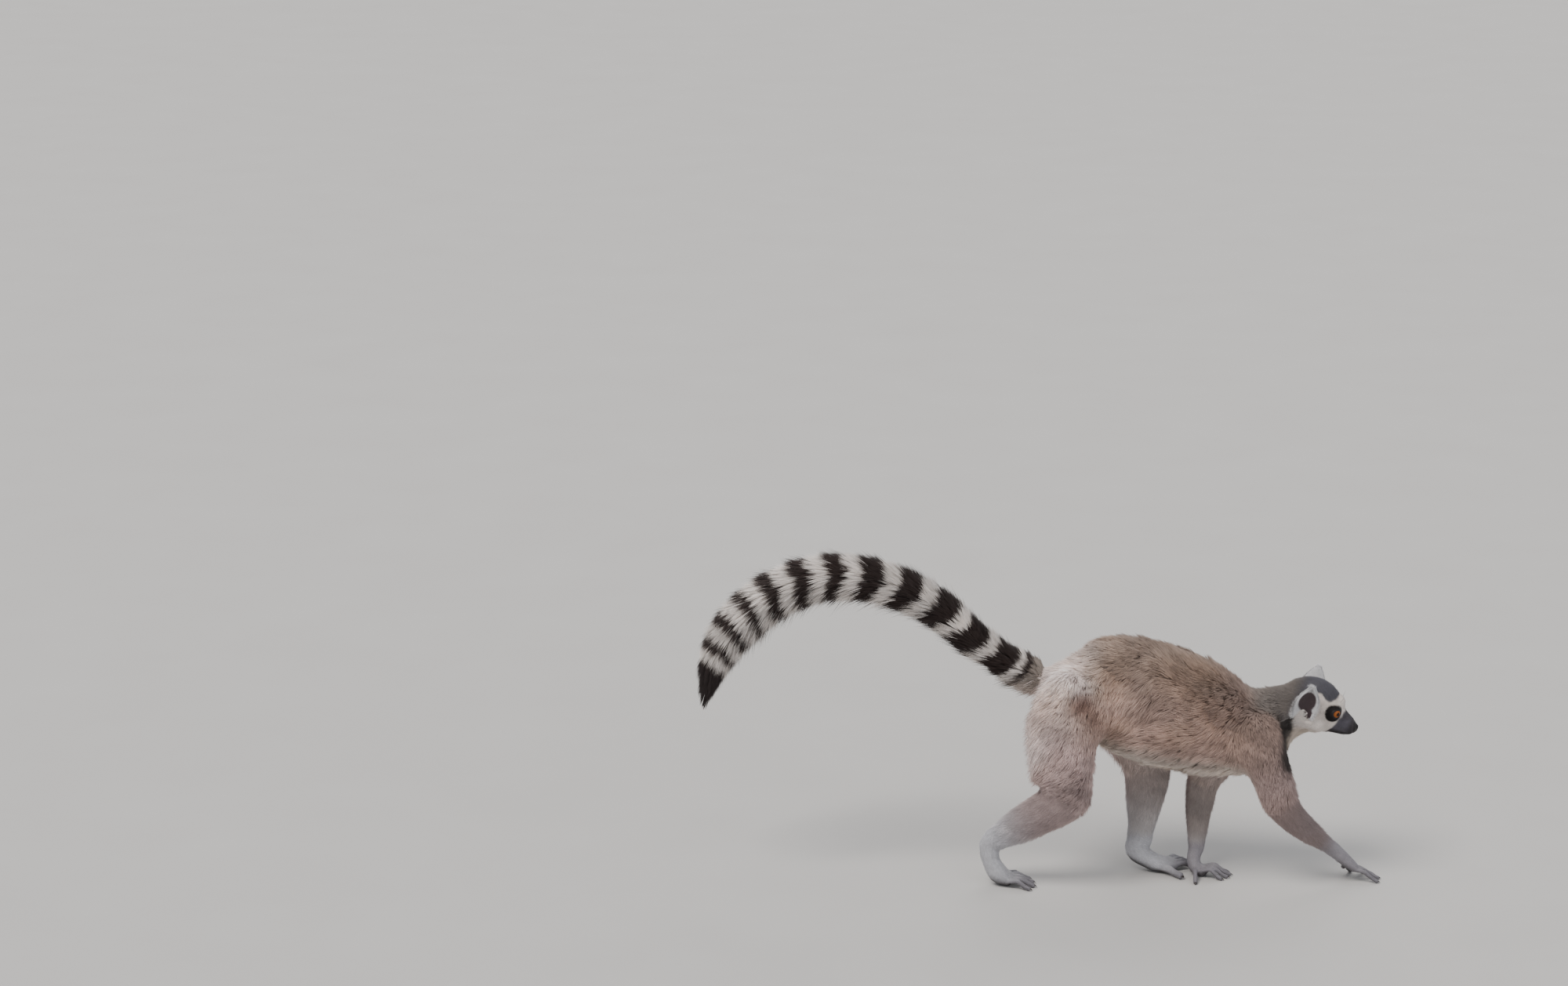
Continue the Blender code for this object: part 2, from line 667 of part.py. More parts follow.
def tail_planes() -> list[tuple[Vector, Vector]]:
    """Planes across the tail that part it into pieces of equal length, from the tip inwards."""
    rows = smooth_stations(TAIL[2:], 6)[:, :3]
    lengths = np.r_[0, np.cumsum(np.linalg.norm(np.diff(rows, axis=0), axis=1))]
    planes = []
    for i in range(TAIL_PIECES - 1, 0, -1):
        at = lengths[-1] * i / TAIL_PIECES
        k = int(np.searchsorted(lengths, at))
        planes.append((Vector(rows[k]), Vector(rows[k + 1] - rows[k - 1]).normalized()))
    return planes


def build_body() -> None:
    """Trunk, legs, tail and neck, fused as one skin and then parted with thin cuts."""
    bm = bmesh.new()
    for stations in (TRUNK, NECK, TAIL, *(limb.stations for limb in LIMBS)):
        add_limb(bm, stations)
    add_skull(bm)
    body = fused(bm, voxel=0.0026, smoothing=9, triangles=1700)
    for limb in LIMBS:
        leg = cut_by(body, cutter_of(limb.stations, LIMB_MARGIN), "INTERSECT")
        body = cut_by(body, cutter_of(limb.stations, LIMB_MARGIN + GAP), "DIFFERENCE")
        upper, lower = parted(leg, limb.bend, limb.bend_normal)
        lower, _ = parted(lower, limb.wrist, limb.wrist_normal)
        _, paw = parted(paw_mesh(PAWS[limb.paw]), limb.wrist, limb.wrist_normal)
        put(limb.upper, upper, FUR_GREY)
        put(limb.lower, lower, FUR_GREY)
        put(PAWS[limb.paw].name, paw, FUR_GREY)
    body, _ = parted(body, *NECK_CUT)
    body, tail = parted(body, *TAIL_ROOT)
    for name, point, normal in TRUNK_CUTS:
        piece, body = parted(body, point, normal)
        put(name, piece, FUR_GREY)
    put("neck", body, FUR_GREY)
    for i, plane in enumerate(tail_planes()):
        tail, piece = parted(tail, *plane)
        put(f"tail_{TAIL_PIECES - i}", piece, FUR_BLACK if i == 0 else FUR_BANDED)
    put("tail_1", tail, FUR_BANDED)


def main() -> None:
    """Clear the scene and build the lemur."""
    for old in list(bpy.data.objects):
        bpy.data.objects.remove(old, do_unlink=True)
    build_head()
    build_body()


main()
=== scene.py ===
"""Ring-tailed lemur, dressed for show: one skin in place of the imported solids, with eyes, claws
and whiskers, and a coat of solid tufts that carries the same markings as the skin."""

import logging
import math
from collections.abc import Callable
from dataclasses import dataclass
from enum import Enum

import bmesh
import bpy
import numpy as np
from mathutils import Matrix, Vector
from mathutils.bvhtree import BVHTree
from mathutils.kdtree import KDTree


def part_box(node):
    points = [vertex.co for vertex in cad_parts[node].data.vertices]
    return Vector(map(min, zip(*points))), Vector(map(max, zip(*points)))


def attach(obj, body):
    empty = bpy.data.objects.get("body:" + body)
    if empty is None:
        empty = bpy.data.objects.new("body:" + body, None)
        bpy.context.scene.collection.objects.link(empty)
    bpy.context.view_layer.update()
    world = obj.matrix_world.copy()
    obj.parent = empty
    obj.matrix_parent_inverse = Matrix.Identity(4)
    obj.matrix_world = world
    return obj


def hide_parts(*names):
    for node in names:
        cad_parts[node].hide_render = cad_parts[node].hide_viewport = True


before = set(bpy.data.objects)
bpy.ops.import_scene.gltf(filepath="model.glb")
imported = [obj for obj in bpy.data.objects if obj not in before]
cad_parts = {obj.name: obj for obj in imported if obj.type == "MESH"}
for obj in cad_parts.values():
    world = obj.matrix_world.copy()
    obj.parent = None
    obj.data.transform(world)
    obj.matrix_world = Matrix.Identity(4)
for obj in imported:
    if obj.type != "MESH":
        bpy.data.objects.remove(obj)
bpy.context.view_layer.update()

LOG = logging.getLogger("lemur")
Array = np.ndarray
Random = np.random.Generator
Span = tuple[float, float]
Object, Mesh = bpy.types.Object, bpy.types.Mesh
Node, Material = bpy.types.Node, bpy.types.Material
MM = 0.001

SIDES = ("right", "left")
TAIL = tuple(f"tail_{i}" for i in range(1, 8))
HEAD = ("head", "muzzle", "jaw", "ear_left", "ear_right")
PAW_NODES = ("hand_left", "hand_right", "foot_left", "foot_right")
BODY = "root"
COLOUR = "coat_colour"
IRIS_PLACE = "iris_place"


class Zone(Enum):
    """Parts of the body whose hair grows alike."""

    HEAD = "head"
    EAR = "ear"
    NECK = "neck"
    TRUNK = "trunk"
    THIGH = "thigh"
    SHANK = "shank"
    ARM = "arm"
    FOREARM = "forearm"
    PAW = "paw"
    TAIL = "tail"


def zone_of_nodes() -> dict[str, Zone]:
    """The zone of every node of flesh.

    Returns:
        Zones by the nodes' names.
    """
    zones = {"head": Zone.HEAD, "muzzle": Zone.HEAD, "jaw": Zone.HEAD, "nose": Zone.HEAD}
    zones |= {"neck": Zone.NECK, "chest": Zone.TRUNK, "belly": Zone.TRUNK, "rump": Zone.TRUNK}
    for side in SIDES:
        zones |= {
            f"ear_{side}": Zone.EAR,
            f"thigh_{side}": Zone.THIGH,
            f"shank_{side}": Zone.SHANK,
            f"foot_{side}": Zone.PAW,
            f"upper_arm_{side}": Zone.ARM,
            f"forearm_{side}": Zone.FOREARM,
            f"hand_{side}": Zone.PAW,
        }
    return zones | dict.fromkeys(TAIL, Zone.TAIL)


ZONE_OF = zone_of_nodes()
FLESH = tuple(ZONE_OF)
FINE = (Zone.HEAD, Zone.EAR, Zone.PAW)
LONG_HAIRED = (Zone.TRUNK, Zone.NECK, Zone.THIGH, Zone.ARM)


def in_zones(node: Array, *zones: Zone) -> Array:
    """Which of these indices in FLESH belong to the zones."""
    wanted = [index for index, name in enumerate(FLESH) if ZONE_OF[name] in zones]
    return np.isin(node, wanted)


@dataclass(frozen=True)
class CoatStyle:
    """How the hair of one zone grows, in metres and tufts per square metre."""

    depth: float
    length: float
    width: float
    density: float
    lock: float
    gather: float
    ruffle: float
    bent: bool


# Depth to the skin, length and width of a tuft, tufts to a square metre, width of a lock, how
# far locks draw together, how far they swirl, and whether a tuft has a bend.
STYLES = {
    Zone.HEAD: CoatStyle(2.4 * MM, 5.2 * MM, 0.47 * MM, 2.1e6, 3.0 * MM, 0.18, 0.14, False),
    Zone.EAR: CoatStyle(0.5 * MM, 5.0 * MM, 0.42 * MM, 2.2e6, 3.0 * MM, 0.25, 0.20, False),
    Zone.NECK: CoatStyle(5.5 * MM, 13 * MM, 0.72 * MM, 0.88e6, 5.0 * MM, 0.34, 0.22, True),
    Zone.TRUNK: CoatStyle(7.0 * MM, 20 * MM, 0.82 * MM, 0.62e6, 8.0 * MM, 0.54, 0.42, True),
    Zone.THIGH: CoatStyle(5.5 * MM, 14 * MM, 0.74 * MM, 0.67e6, 7.0 * MM, 0.42, 0.32, True),
    Zone.SHANK: CoatStyle(2.6 * MM, 7.0 * MM, 0.54 * MM, 1.0e6, 4.0 * MM, 0.26, 0.18, False),
    Zone.ARM: CoatStyle(4.2 * MM, 11 * MM, 0.66 * MM, 0.85e6, 5.0 * MM, 0.32, 0.24, True),
    Zone.FOREARM: CoatStyle(2.3 * MM, 6.0 * MM, 0.52 * MM, 1.08e6, 3.5 * MM, 0.26, 0.16, False),
    Zone.PAW: CoatStyle(0.9 * MM, 3.8 * MM, 0.44 * MM, 1.30e6, 2.8 * MM, 0.24, 0.18, False),
    Zone.TAIL: CoatStyle(16 * MM, 38 * MM, 0.92 * MM, 0.76e6, 6.0 * MM, 0.44, 0.12, True),
}

# ---- numbers in arrays


def tone(red: int, green: int, blue: int) -> Array:
    """The linear colour of a screen colour."""
    share = np.array((red, green, blue)) / 255
    return np.where(share <= 0.04045, share / 12.92, ((share + 0.055) / 1.055) ** 2.4)


def ramp(value: Array, low: float, high: float) -> Array:
    """A smooth rise from 0 at low to 1 at high."""
    t = np.clip((value - low) / (high - low), 0, 1)
    return t * t * (3 - 2 * t)


def plain(colour: Array, points: Array) -> Array:
    """One colour for every point."""
    return np.broadcast_to(colour, (len(points), 3))


def blend(first: Array, second: Array, share: Array) -> Array:
    """Rows of first moved towards second by each row's share."""
    share = np.asarray(share)[..., None]
    return first * (1 - share) + second * share


def sizes_of(rows: Array) -> Array:
    """The length of each row."""
    return np.linalg.norm(rows, axis=1)


def unit(rows: Array) -> Array:
    """Rows scaled to length 1."""
    return rows / np.maximum(np.linalg.norm(rows, axis=-1, keepdims=True), 1e-12)


def flatten(rows: Array, normals: Array) -> Array:
    """Rows turned into the plane square to the normals, at length 1."""
    return unit(rows - normals * (rows * normals).sum(-1, keepdims=True))


def wander(points: Array, size: float, seed: int) -> Array:
    """A smooth field between -1 and 1 that changes over about the given size.

    Args:
        points: places, in metres.
        size: length over which the field changes.
        seed: picks one of many fields.

    Returns:
        One value for each point.
    """
    rng = np.random.default_rng(seed)
    total = np.zeros(len(points))
    for _ in range(6):
        way = unit(rng.normal(size=3)) * rng.uniform(0.6, 1.5) * math.tau / (4 * size)
        total += np.sin(points @ way + rng.uniform(0, math.tau))
    return total / 2.4


class Graph:
    """Neighbours along the edges of a mesh."""

    def __init__(self, edges: Array, count: int) -> None:
        """Count each vertex's neighbours.

        Args:
            edges: pairs of vertices.
            count: how many vertices there are.
        """
        self.a, self.b = edges.T
        self.count = count
        self.degree = np.maximum(np.bincount(edges.ravel(), minlength=count), 1)[:, None]

    def mean(self, rows: Array) -> Array:
        """The mean of each vertex's neighbours.

        Args:
            rows: a row of values for each vertex.

        Returns:
            The means, a row for each vertex.
        """
        out = np.empty_like(rows)
        for k in range(rows.shape[1]):
            out[:, k] = np.bincount(self.a, rows[self.b, k], self.count)
            out[:, k] += np.bincount(self.b, rows[self.a, k], self.count)
        return out / self.degree

    def smooth(self, rows: Array, rounds: int) -> Array:
        """Rows averaged with their neighbours so many times.

        Args:
            rows: values, one row for each vertex.
            rounds: how many times.

        Returns:
            The smoothed rows.
        """
        for _ in range(rounds):
            rows = 0.4 * rows + 0.6 * self.mean(rows)
        return rows

    def relax(self, points: Array, rounds: int, share: Array) -> Array:
        """Points eased flat without shrinking the form, more where the share is higher.

        Args:
            points: the vertices.
            rounds: how many times they are eased.
            share: how much each is eased.

        Returns:
            The eased points.
        """
        share = share[:, None]
        for _ in range(rounds):
            points = points + 0.60 * share * (self.mean(points) - points)
            points = points - 0.62 * share * (self.mean(points) - points)
        return points


# ---- lines and frames


@dataclass
class Line:
    """A smooth line down the middle of a part of the body."""

    points: Array

    def __post_init__(self) -> None:
        """Measure the line and its directions."""
        steps = sizes_of(np.diff(self.points, axis=0))
        self.lengths = np.r_[0, np.cumsum(steps)]
        self.tangents = unit(np.gradient(self.points, axis=0))

    @classmethod
    def through(cls, knots: list[Array], steps: int = 12) -> "Line":
        """A Catmull-Rom line through the knots.

        Args:
            knots: points that the line passes.
            steps: pieces between two knots.

        Returns:
            The line.
        """
        rows = np.array(knots, float)
        rows = np.vstack((2 * rows[0] - rows[1], rows, 2 * rows[-1] - rows[-2]))
        out = []
        for a, b, c, d in zip(rows, rows[1:], rows[2:], rows[3:]):
            for t in np.arange(steps) / steps:
                out.append(
                    0.5 * (2 * b + (c - a) * t + (2 * a - 5 * b + 4 * c - d) * t**2
                           + (3 * b - a - 3 * c + d) * t**3)
                )
        out.append(rows[-2])
        return cls(np.array(out))

    @property
    def length(self) -> float:
        """Length from end to end."""
        return float(self.lengths[-1])

    def at(self, place: Array) -> tuple[Array, Array]:
        """Point and direction at each place along the line, carried on straight past its end.

        Args:
            place: lengths along the line, in metres.

        Returns:
            Points and unit directions.
        """
        inside = np.clip(place, 0, self.length)
        point = np.stack([np.interp(inside, self.lengths, c) for c in self.points.T], -1)
        way = unit(np.stack([np.interp(inside, self.lengths, c) for c in self.tangents.T], -1))
        return point + way * (place - inside)[:, None], way

    def nearest(self, points: Array) -> tuple[Array, Array, Array]:
        """Place along the line, point on it and direction there, for each of the points.

        Args:
            points: any places.

        Returns:
            Place along the line, point on it and direction there, one row for each.
        """
        place = np.empty(len(points))
        a, b = self.points[:-1], self.points[1:]
        span = b - a
        square = (span**2).sum(1)
        for start in range(0, len(points), 20000):
            part = points[start:start + 20000, None]
            t = np.clip(((part - a) * span).sum(-1) / square, 0, 1)
            gap = ((a + t[..., None] * span - part) ** 2).sum(-1)
            k = gap.argmin(1)
            row = np.arange(len(k))
            place[start:start + len(k)] = self.lengths[k] + t[row, k] * np.sqrt(square[k])
        point, way = self.at(place)
        return place, point, way

    def unrolled(self, points: Array) -> Array:
        """Each point's turn about the line and place along it, both from 0 to 1.

        Args:
            points: any places.

        Returns:
            Turn and place, a row for each point.
        """
        place, centre, way = self.nearest(points)
        across = flatten(np.broadcast_to((0.02, 1.0, 0.03), way.shape), way)
        over = np.cross(way, across)
        out = points - centre
        turn = np.arctan2((out * over).sum(-1), (out * across).sum(-1))
        return np.stack((turn / math.tau + 0.5, place / self.length), -1)


def node_points(name: str) -> Array:
    """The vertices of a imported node.

    Args:
        name: the node.

    Returns:
        Its vertices, each once.
    """
    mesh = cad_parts[name].data
    rows = np.empty(len(mesh.vertices) * 3, np.float32)
    mesh.vertices.foreach_get("co", rows)
    return np.unique(rows.reshape(-1, 3).round(6), axis=0).astype(float)


def joint(first: str, second: str) -> Array:
    """The middle of the thin gap between two neighbouring nodes.

    Args:
        first: one node.
        second: the node beside it.

    Returns:
        The middle.
    """
    a, b = node_points(first), node_points(second)
    gap = np.array([((b - row) ** 2).sum(1).min() for row in a])
    return a[gap < (1.2 * MM) ** 2].mean(0)


def far_end(name: str, start: Array, share: float = 0.04) -> Array:
    """The middle of what lies farthest from the start, within a node.

    Args:
        name: the node.
        start: where it is measured from.
        share: how much of it counts.

    Returns:
        The middle of that part.
    """
    rows = node_points(name)
    reach = sizes_of(rows - start)
    return rows[reach > np.quantile(reach, 1 - share)].mean(0)


class HeadFrame:
    """The head's own frame: +X out of the nose, +Y to its left, +Z out of the crown."""

    EYE = np.array((32.0, 16.0, 10.5)) * MM
    NOSE = np.array((64.0, 0.0, -2.4)) * MM
    GAZE_OUT = math.radians(42)
    GAZE_LIFT = math.radians(8)

    def __init__(self) -> None:
        """Find the frame from the places of the eyes and the nose."""
        middles = {}
        for name in ("eye_left", "eye_right", "nose"):
            low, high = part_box(name)
            middles[name] = np.array((low + high) / 2)
        self.eyes = {1: middles["eye_left"], -1: middles["eye_right"]}
        across = unit(self.eyes[1] - self.eyes[-1])
        middle = (self.eyes[1] + self.eyes[-1]) / 2
        forward = middles["nose"] - middle
        forward = unit(forward - across * (forward @ across))
        over = np.cross(forward, across)
        tilt = math.atan2(self.NOSE[2] - self.EYE[2], self.NOSE[0] - self.EYE[0])
        x = math.cos(tilt) * forward - math.sin(tilt) * over
        z = math.sin(tilt) * forward + math.cos(tilt) * over
        self.axes = np.array((x, across, z))
        self.origin = middle - x * self.EYE[0] - z * self.EYE[2]

    def local(self, points: Array) -> Array:
        """Points in the head's frame."""
        return (points - self.origin) @ self.axes.T

    def world(self, points: Array) -> Array:
        """Points of the head's frame in the part's frame."""
        return self.origin + np.asarray(points) @ self.axes

    def into_bowl(self, place: Array, normals: Array) -> Array:
        """How far the surface at places of an ear faces into its bowl, from -1 to 1.

        Args:
            place: places in the head's frame.
            normals: normals there, in the scene's frame.

        Returns:
            The share for each place.
        """
        facing = normals @ self.axes.T
        sign = np.where(place[:, 1] > 0, 1, -1)
        return facing[:, 0] * 0.34 + facing[:, 1] * sign * 0.94

    @staticmethod
    def bowl_reach(place: Array) -> Array:
        """How far out from the middle of the ear's bowl a place is: 1 at its edge."""
        return np.sqrt(((place[:, 0] + 1.5) / 10.0) ** 2 + ((place[:, 2] - 18) / 14.0) ** 2)

    def gaze(self, side: int) -> tuple[Array, Array, Array]:
        """The ways out of the pupil, along the lids and up, in the head's frame.

        Args:
            side: 1 for the left eye, -1 for the right.

        Returns:
            Three directions, square to each other.
        """
        out, lift = self.GAZE_OUT, self.GAZE_LIFT
        ahead, aside = math.cos(lift) * math.cos(out), math.cos(lift) * math.sin(out)
        look = np.array((ahead, side * aside, math.sin(lift)))
        along = unit(np.cross((0, 0, 1.0), look))
        return look, along, np.cross(look, along)


class Bones:
    """The lines of the trunk, legs, paws and tail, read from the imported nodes."""

    def __init__(self, head: HeadFrame) -> None:
        """Trace every line through the joints between the nodes.

        Args:
            head: the head's frame.
        """
        self.head = head
        spine = [joint("neck", "head"), joint("chest", "neck"), joint("belly", "chest"),
                 joint("rump", "belly"), joint("tail_1", "rump")]
        self.trunk = Line.through(spine)
        tail = [joint("tail_1", "rump")]
        tail += [joint(f"tail_{i}", f"tail_{i + 1}") for i in range(1, 7)]
        tail.append(far_end("tail_7", tail[-1], 0.02))
        self.tail = Line.through(tail)
        self.of_node = {name: self.trunk for name in ("neck", "chest", "belly", "rump")}
        self.of_node |= dict.fromkeys(TAIL, self.tail)
        face = Line.through([head.world((-35 * MM, 0, 0)), head.world((68 * MM, 0, -4 * MM))])
        self.of_node |= dict.fromkeys(("head", "muzzle", "jaw", "nose"), face)
        self.knees = []
        for side, sign in (("right", -1), ("left", 1)):
            ear = [head.world((-2 * MM, sign * 37 * MM, z * MM)) for z in (-6, 48)]
            self.of_node[f"ear_{side}"] = Line.through(ear)
            for hip, upper, lower, paw in (
                ("rump", "thigh", "shank", "foot"),
                ("chest", "upper_arm", "forearm", "hand"),
            ):
                upper, lower, paw = (f"{word}_{side}" for word in (upper, lower, paw))
                ankle = joint(lower, paw)
                knee = joint(upper, lower)
                self.knees.append(knee)
                leg = Line.through([joint(upper, hip), knee, ankle])
                self.of_node |= {upper: leg, lower: leg}
                toes = far_end(paw, ankle, 0.12)
                sole = node_points(paw)
                sole = sole[sole[:, 2] < 0.5 * MM]
                ball = sole.mean(0) * 0.5 + toes * 0.2 + ankle * 0.3
                ball[2] = min(ankle[2] * 0.4, 14 * MM)
                self.of_node[paw] = Line.through([ankle, ball, toes])


# ---- markings


@dataclass(frozen=True)
class Patch:
    """A soft spot of colour on both flanks: its middle, reach, colour and strength."""

    middle: tuple[float, float, float]
    reach: float
    colour: tuple[int, int, int]
    strength: float

    def share(self, points: Array) -> Array:
        """How much of the patch's colour each point takes."""
        sides = (sizes_of(points * (1, sign, 1) - self.middle) for sign in (1, -1))
        return self.strength * ramp(np.minimum(*sides), self.reach, self.reach * 0.25)


@dataclass
class Markings:
    """The animal's colours at places on its outline, shared by the skin and the coat."""

    bones: Bones

    BACK = tone(142, 123, 111)
    FLANK = tone(184, 157, 145)
    BELLY = tone(206, 194, 184)
    RUMP = tone(222, 207, 202)
    NAPE = tone(116, 108, 103)
    # Dark grey of the neck's sides, deepened into painted shadow under the head.
    COLLAR_AND_SHADOW = tone(48, 42, 40)
    SHOULDER = tone(144, 122, 113)
    THIGH = tone(193, 169, 164)
    SHANK = tone(172, 154, 152)
    FOREARM = tone(150, 134, 132)
    ARM = tone(166, 144, 139)
    INNER = tone(200, 190, 183)
    PAW = tone(196, 195, 199)
    HAND = tone(150, 145, 150)
    TOES = tone(142, 138, 144)
    PAD = tone(44, 38, 38)
    CAP = tone(92, 90, 97)
    # The face's white, warmed a little by painted bounce light from the ground.
    FACE = tone(230, 221, 214)
    THROAT = tone(208, 194, 180)
    MASK = tone(34, 27, 27)
    # The muzzle's dark grey, lightened to blue-grey by painted sheen on its sides.
    MUZZLE_AND_SHEEN = tone(90, 86, 94)
    NOSE = tone(26, 21, 22)
    LIP = tone(40, 33, 34)
    EAR_OUT = tone(214, 212, 213)
    EAR_IN = tone(70, 57, 60)
    RING_DARK = tone(46, 34, 31)
    RING_PALE = tone(222, 214, 208)
    TAIL_BASE = tone(134, 124, 116)
    TAIL_TIP = tone(44, 34, 33)
    PATCHES = (
        Patch((0.046, -0.084, 0.256), 0.030, (106, 76, 66), 0.84),
        Patch((0.066, -0.083, 0.232), 0.022, (98, 72, 62), 0.74),
        Patch((0.200, -0.060, 0.280), 0.062, (116, 90, 70), 0.46),
        Patch((0.100, -0.080, 0.215), 0.030, (216, 186, 166), 0.45),
        Patch((0.140, -0.080, 0.235), 0.032, (128, 102, 90), 0.42),
        Patch((0.175, -0.080, 0.200), 0.035, (206, 172, 146), 0.40),
        Patch((0.028, -0.030, 0.296), 0.066, (234, 222, 218), 0.66),
        Patch((-0.012, -0.050, 0.195), 0.048, (238, 224, 220), 0.80),
        Patch((0.015, -0.050, 0.140), 0.035, (150, 130, 126), 0.35),
    )
    # Place along the tail of each pale ring's middle, and half its width.
    RINGS = (
        (0.0345, 0.0042), (0.0760, 0.0072), (0.1250, 0.0084), (0.1740, 0.0090),
        (0.2204, 0.0092), (0.2647, 0.0090), (0.3039, 0.0090), (0.3417, 0.0088),
        (0.3790, 0.0085), (0.4106, 0.0080), (0.4407, 0.0076), (0.4680, 0.0066),
    )
    # The grey cap's lower edge in the head's frame: its height at places from back to front.
    CAP_EDGE = ((-40, -14, -4, 12, 19, 25, 31, 36), (-26, -8, 30, 30, 25, 23.5, 27, 38))
    # The dark band down each side of the neck, partly its own dark grey and partly painted shadow
    # under the head, from its upper to its lower end.
    COLLAR_AND_SHADOW_ENDS = (0.304, 0.034, 0.238), (0.306, 0.030, 0.174)

    def tail(self, place: Array) -> Array:
        """Colours of the tail by where along it the hair shows.

        Args:
            place: lengths along the tail, in metres.

        Returns:
            Colours, a row for each.
        """
        pale = np.zeros(len(place))
        for middle, half in self.RINGS:
            pale = np.maximum(pale, ramp(np.abs(place - middle), half + 1.5 * MM, half - 1.5 * MM))
        colour = blend(plain(self.RING_DARK, place), self.RING_PALE, pale)
        colour = blend(colour, self.TAIL_TIP, ramp(place, 0.476, 0.482))
        return blend(colour, self.TAIL_BASE, ramp(place, 0.024, 0.019))

    def face(self, points: Array) -> Array:
        """Colours of the head: pale, with black eye patches, a dark snout with painted sheen on its
        sides and a grey cap.

        Args:
            points: places on the head.

        Returns:
            Linear colours.
        """
        x, y, z = (self.bones.head.local(points) / MM).T
        side = np.abs(y)
        colour = blend(plain(self.FACE, x), self.THROAT, ramp(z, -14, -24) * ramp(x, 34, 20))
        # The grey cap comes down in a tongue between the ear and the brow.
        edge = np.interp(x, *self.CAP_EDGE)
        cap = ramp(z - edge, -1.2, 1.2) * ramp(x, 37, 34)
        cap = np.maximum(cap, ramp(x, -13, -17) * ramp(z, 12, 20))
        grey = blend(plain(self.CAP, x), self.NAPE, ramp(x, -6, -26))
        colour = blend(colour, grey, cap)
        # Behind the cheeks the neck's dark band begins: partly its own dark grey, partly painted
        # shadow.
        behind = x + 0.42 * np.maximum(z + 19, 0) + 0.9 * wander(points, 0.004, 32)
        behind = ramp(behind, -1.5, -6.0)
        behind = behind * ramp(z, 30, 20) * ramp(side, 6, 14) * (1 - cap)
        colour = blend(colour, self.COLLAR_AND_SHADOW, behind)
        colour = blend(colour, self.MASK, ramp(self.mask_reach(x, side, z), 1.08, 0.92))
        # The muzzle's sides take a lighter blue-grey that is painted sheen; its top, its nose end
        # and the band by the mouth stay dark.
        snout = ramp(x - 0.42 * (z + 2) + 0.8 * wander(points, 0.004, 31), 37.5, 41.5)
        colour = blend(colour, self.MUZZLE_AND_SHEEN, snout * ramp(z, -19, -16))
        dark = np.maximum(ramp(x, 51, 60) * 0.85, ramp(z, -8.5, -12.5) * 0.8)
        dark = np.maximum(dark, ramp(z, 2, 8) * 0.5)
        colour = blend(colour, self.LIP, dark * snout)
        return blend(colour, self.NOSE, ramp(x + 0.25 * z, 60.5, 61.8))

    @staticmethod
    def mask_reach(x: Array, side: Array, z: Array) -> Array:
        """How far out from the middle of the eye's black patch a place is: 1 at its edge.

        Args:
            x: how far forward each place is.
            side: how far aside.
            z: how high.

        Returns:
            The reach, 1 at the patch's edge.
        """
        along = (x - 32.0) * 0.94 + (z - 11.5) * 0.34
        across = (z - 11.5) * 0.94 - (x - 32.0) * 0.34
        long = np.where(along > 0, 10.2, 9.4)
        tall = np.where(across > 0, 10.2, 12.2)
        flat = np.maximum(np.abs(side - 17) - 8, 0) / 9
        return np.sqrt((along / long) ** 2 + (across / tall) ** 2 + flat**2)

    def ear(self, points: Array, normals: Array) -> Array:
        """Colours of the ears: pale outside and along the rim, dark within.

        Args:
            points: places on the ears.
            normals: the way out at each.

        Returns:
            Linear colours.
        """
        place = self.bones.head.local(points) / MM
        x, _, z = place.T
        inside = self.bones.head.into_bowl(place, normals)
        stem = np.sqrt(((x - 4.0) / 4.5) ** 2 + ((z - 3) / 8.0) ** 2)
        reach = np.minimum(self.bones.head.bowl_reach(place), stem)
        dark = ramp(inside, 0.05, 0.35) * ramp(reach, 1.10, 0.90)
        colour = blend(plain(self.EAR_OUT, x), self.EAR_IN, dark)
        return blend(colour, self.NAPE, ramp(x, -14, -19) * ramp(z, 26, 16) * 0.8)

    def trunk(self, points: Array, normals: Array) -> Array:
        """Colours of neck, trunk and upper legs, from the back down to the belly.

        Args:
            points: the places.
            normals: the way out at each.

        Returns:
            Linear colours.
        """
        x, up = points[:, 0], normals[:, 2]
        colour = blend(plain(self.FLANK, x), self.BACK, ramp(up, 0.05, 0.8))
        colour = blend(colour, self.SHOULDER, ramp(x, 0.20, 0.26) * 0.7)
        colour = blend(colour, self.RUMP, ramp(x, 0.07, 0.01) * 0.8)
        # The neck's dark band reaches here too: partly its own dark grey, partly painted shadow.
        colour = blend(self.patched(colour, points), self.COLLAR_AND_SHADOW, self.collar_and_shadow(points) * 0.8)
        under = ramp(up, -0.35, -0.75) * ramp(x, -0.02, 0.03)
        return blend(colour, self.BELLY, under)

    def neck(self, points: Array, normals: Array) -> Array:
        """Colours of the neck: grey nape, dark sides behind the cheeks (partly painted shadow under
        the head) and a pale throat.

        Args:
            points: the places.
            normals: the way out at each.

        Returns:
            Linear colours.
        """
        place = self.bones.head.local(points) / MM
        colour = blend(self.trunk(points, normals), self.NAPE, ramp(points[:, 0], 0.246, 0.276))
        # The dark band down the neck's sides: partly its own dark grey, partly painted shadow.
        colour = blend(colour, self.COLLAR_AND_SHADOW, self.collar_and_shadow(points))
        throat = ramp(normals[:, 2], -0.35, -0.75) * ramp(place[:, 0], -45, -20)
        return blend(colour, self.THROAT, throat)

    def leg(self, points: Array, normals: Array, zone: Zone, line: Line) -> Array:
        """Colours of a leg, paler inside it and towards the paw.

        Args:
            points: the places.
            normals: the way out at each.
            zone: the leg's zone.
            line: the leg's line.

        Returns:
            Linear colours.
        """
        hind = zone in (Zone.THIGH, Zone.SHANK)
        upper, lower = (self.THIGH, self.SHANK) if hind else (self.ARM, self.FOREARM)
        place = line.nearest(points)[0] / line.length
        colour = blend(self.trunk(points, normals), upper, ramp(place, -0.02, 0.30))
        colour = blend(colour, lower, ramp(place, 0.34, 0.74))
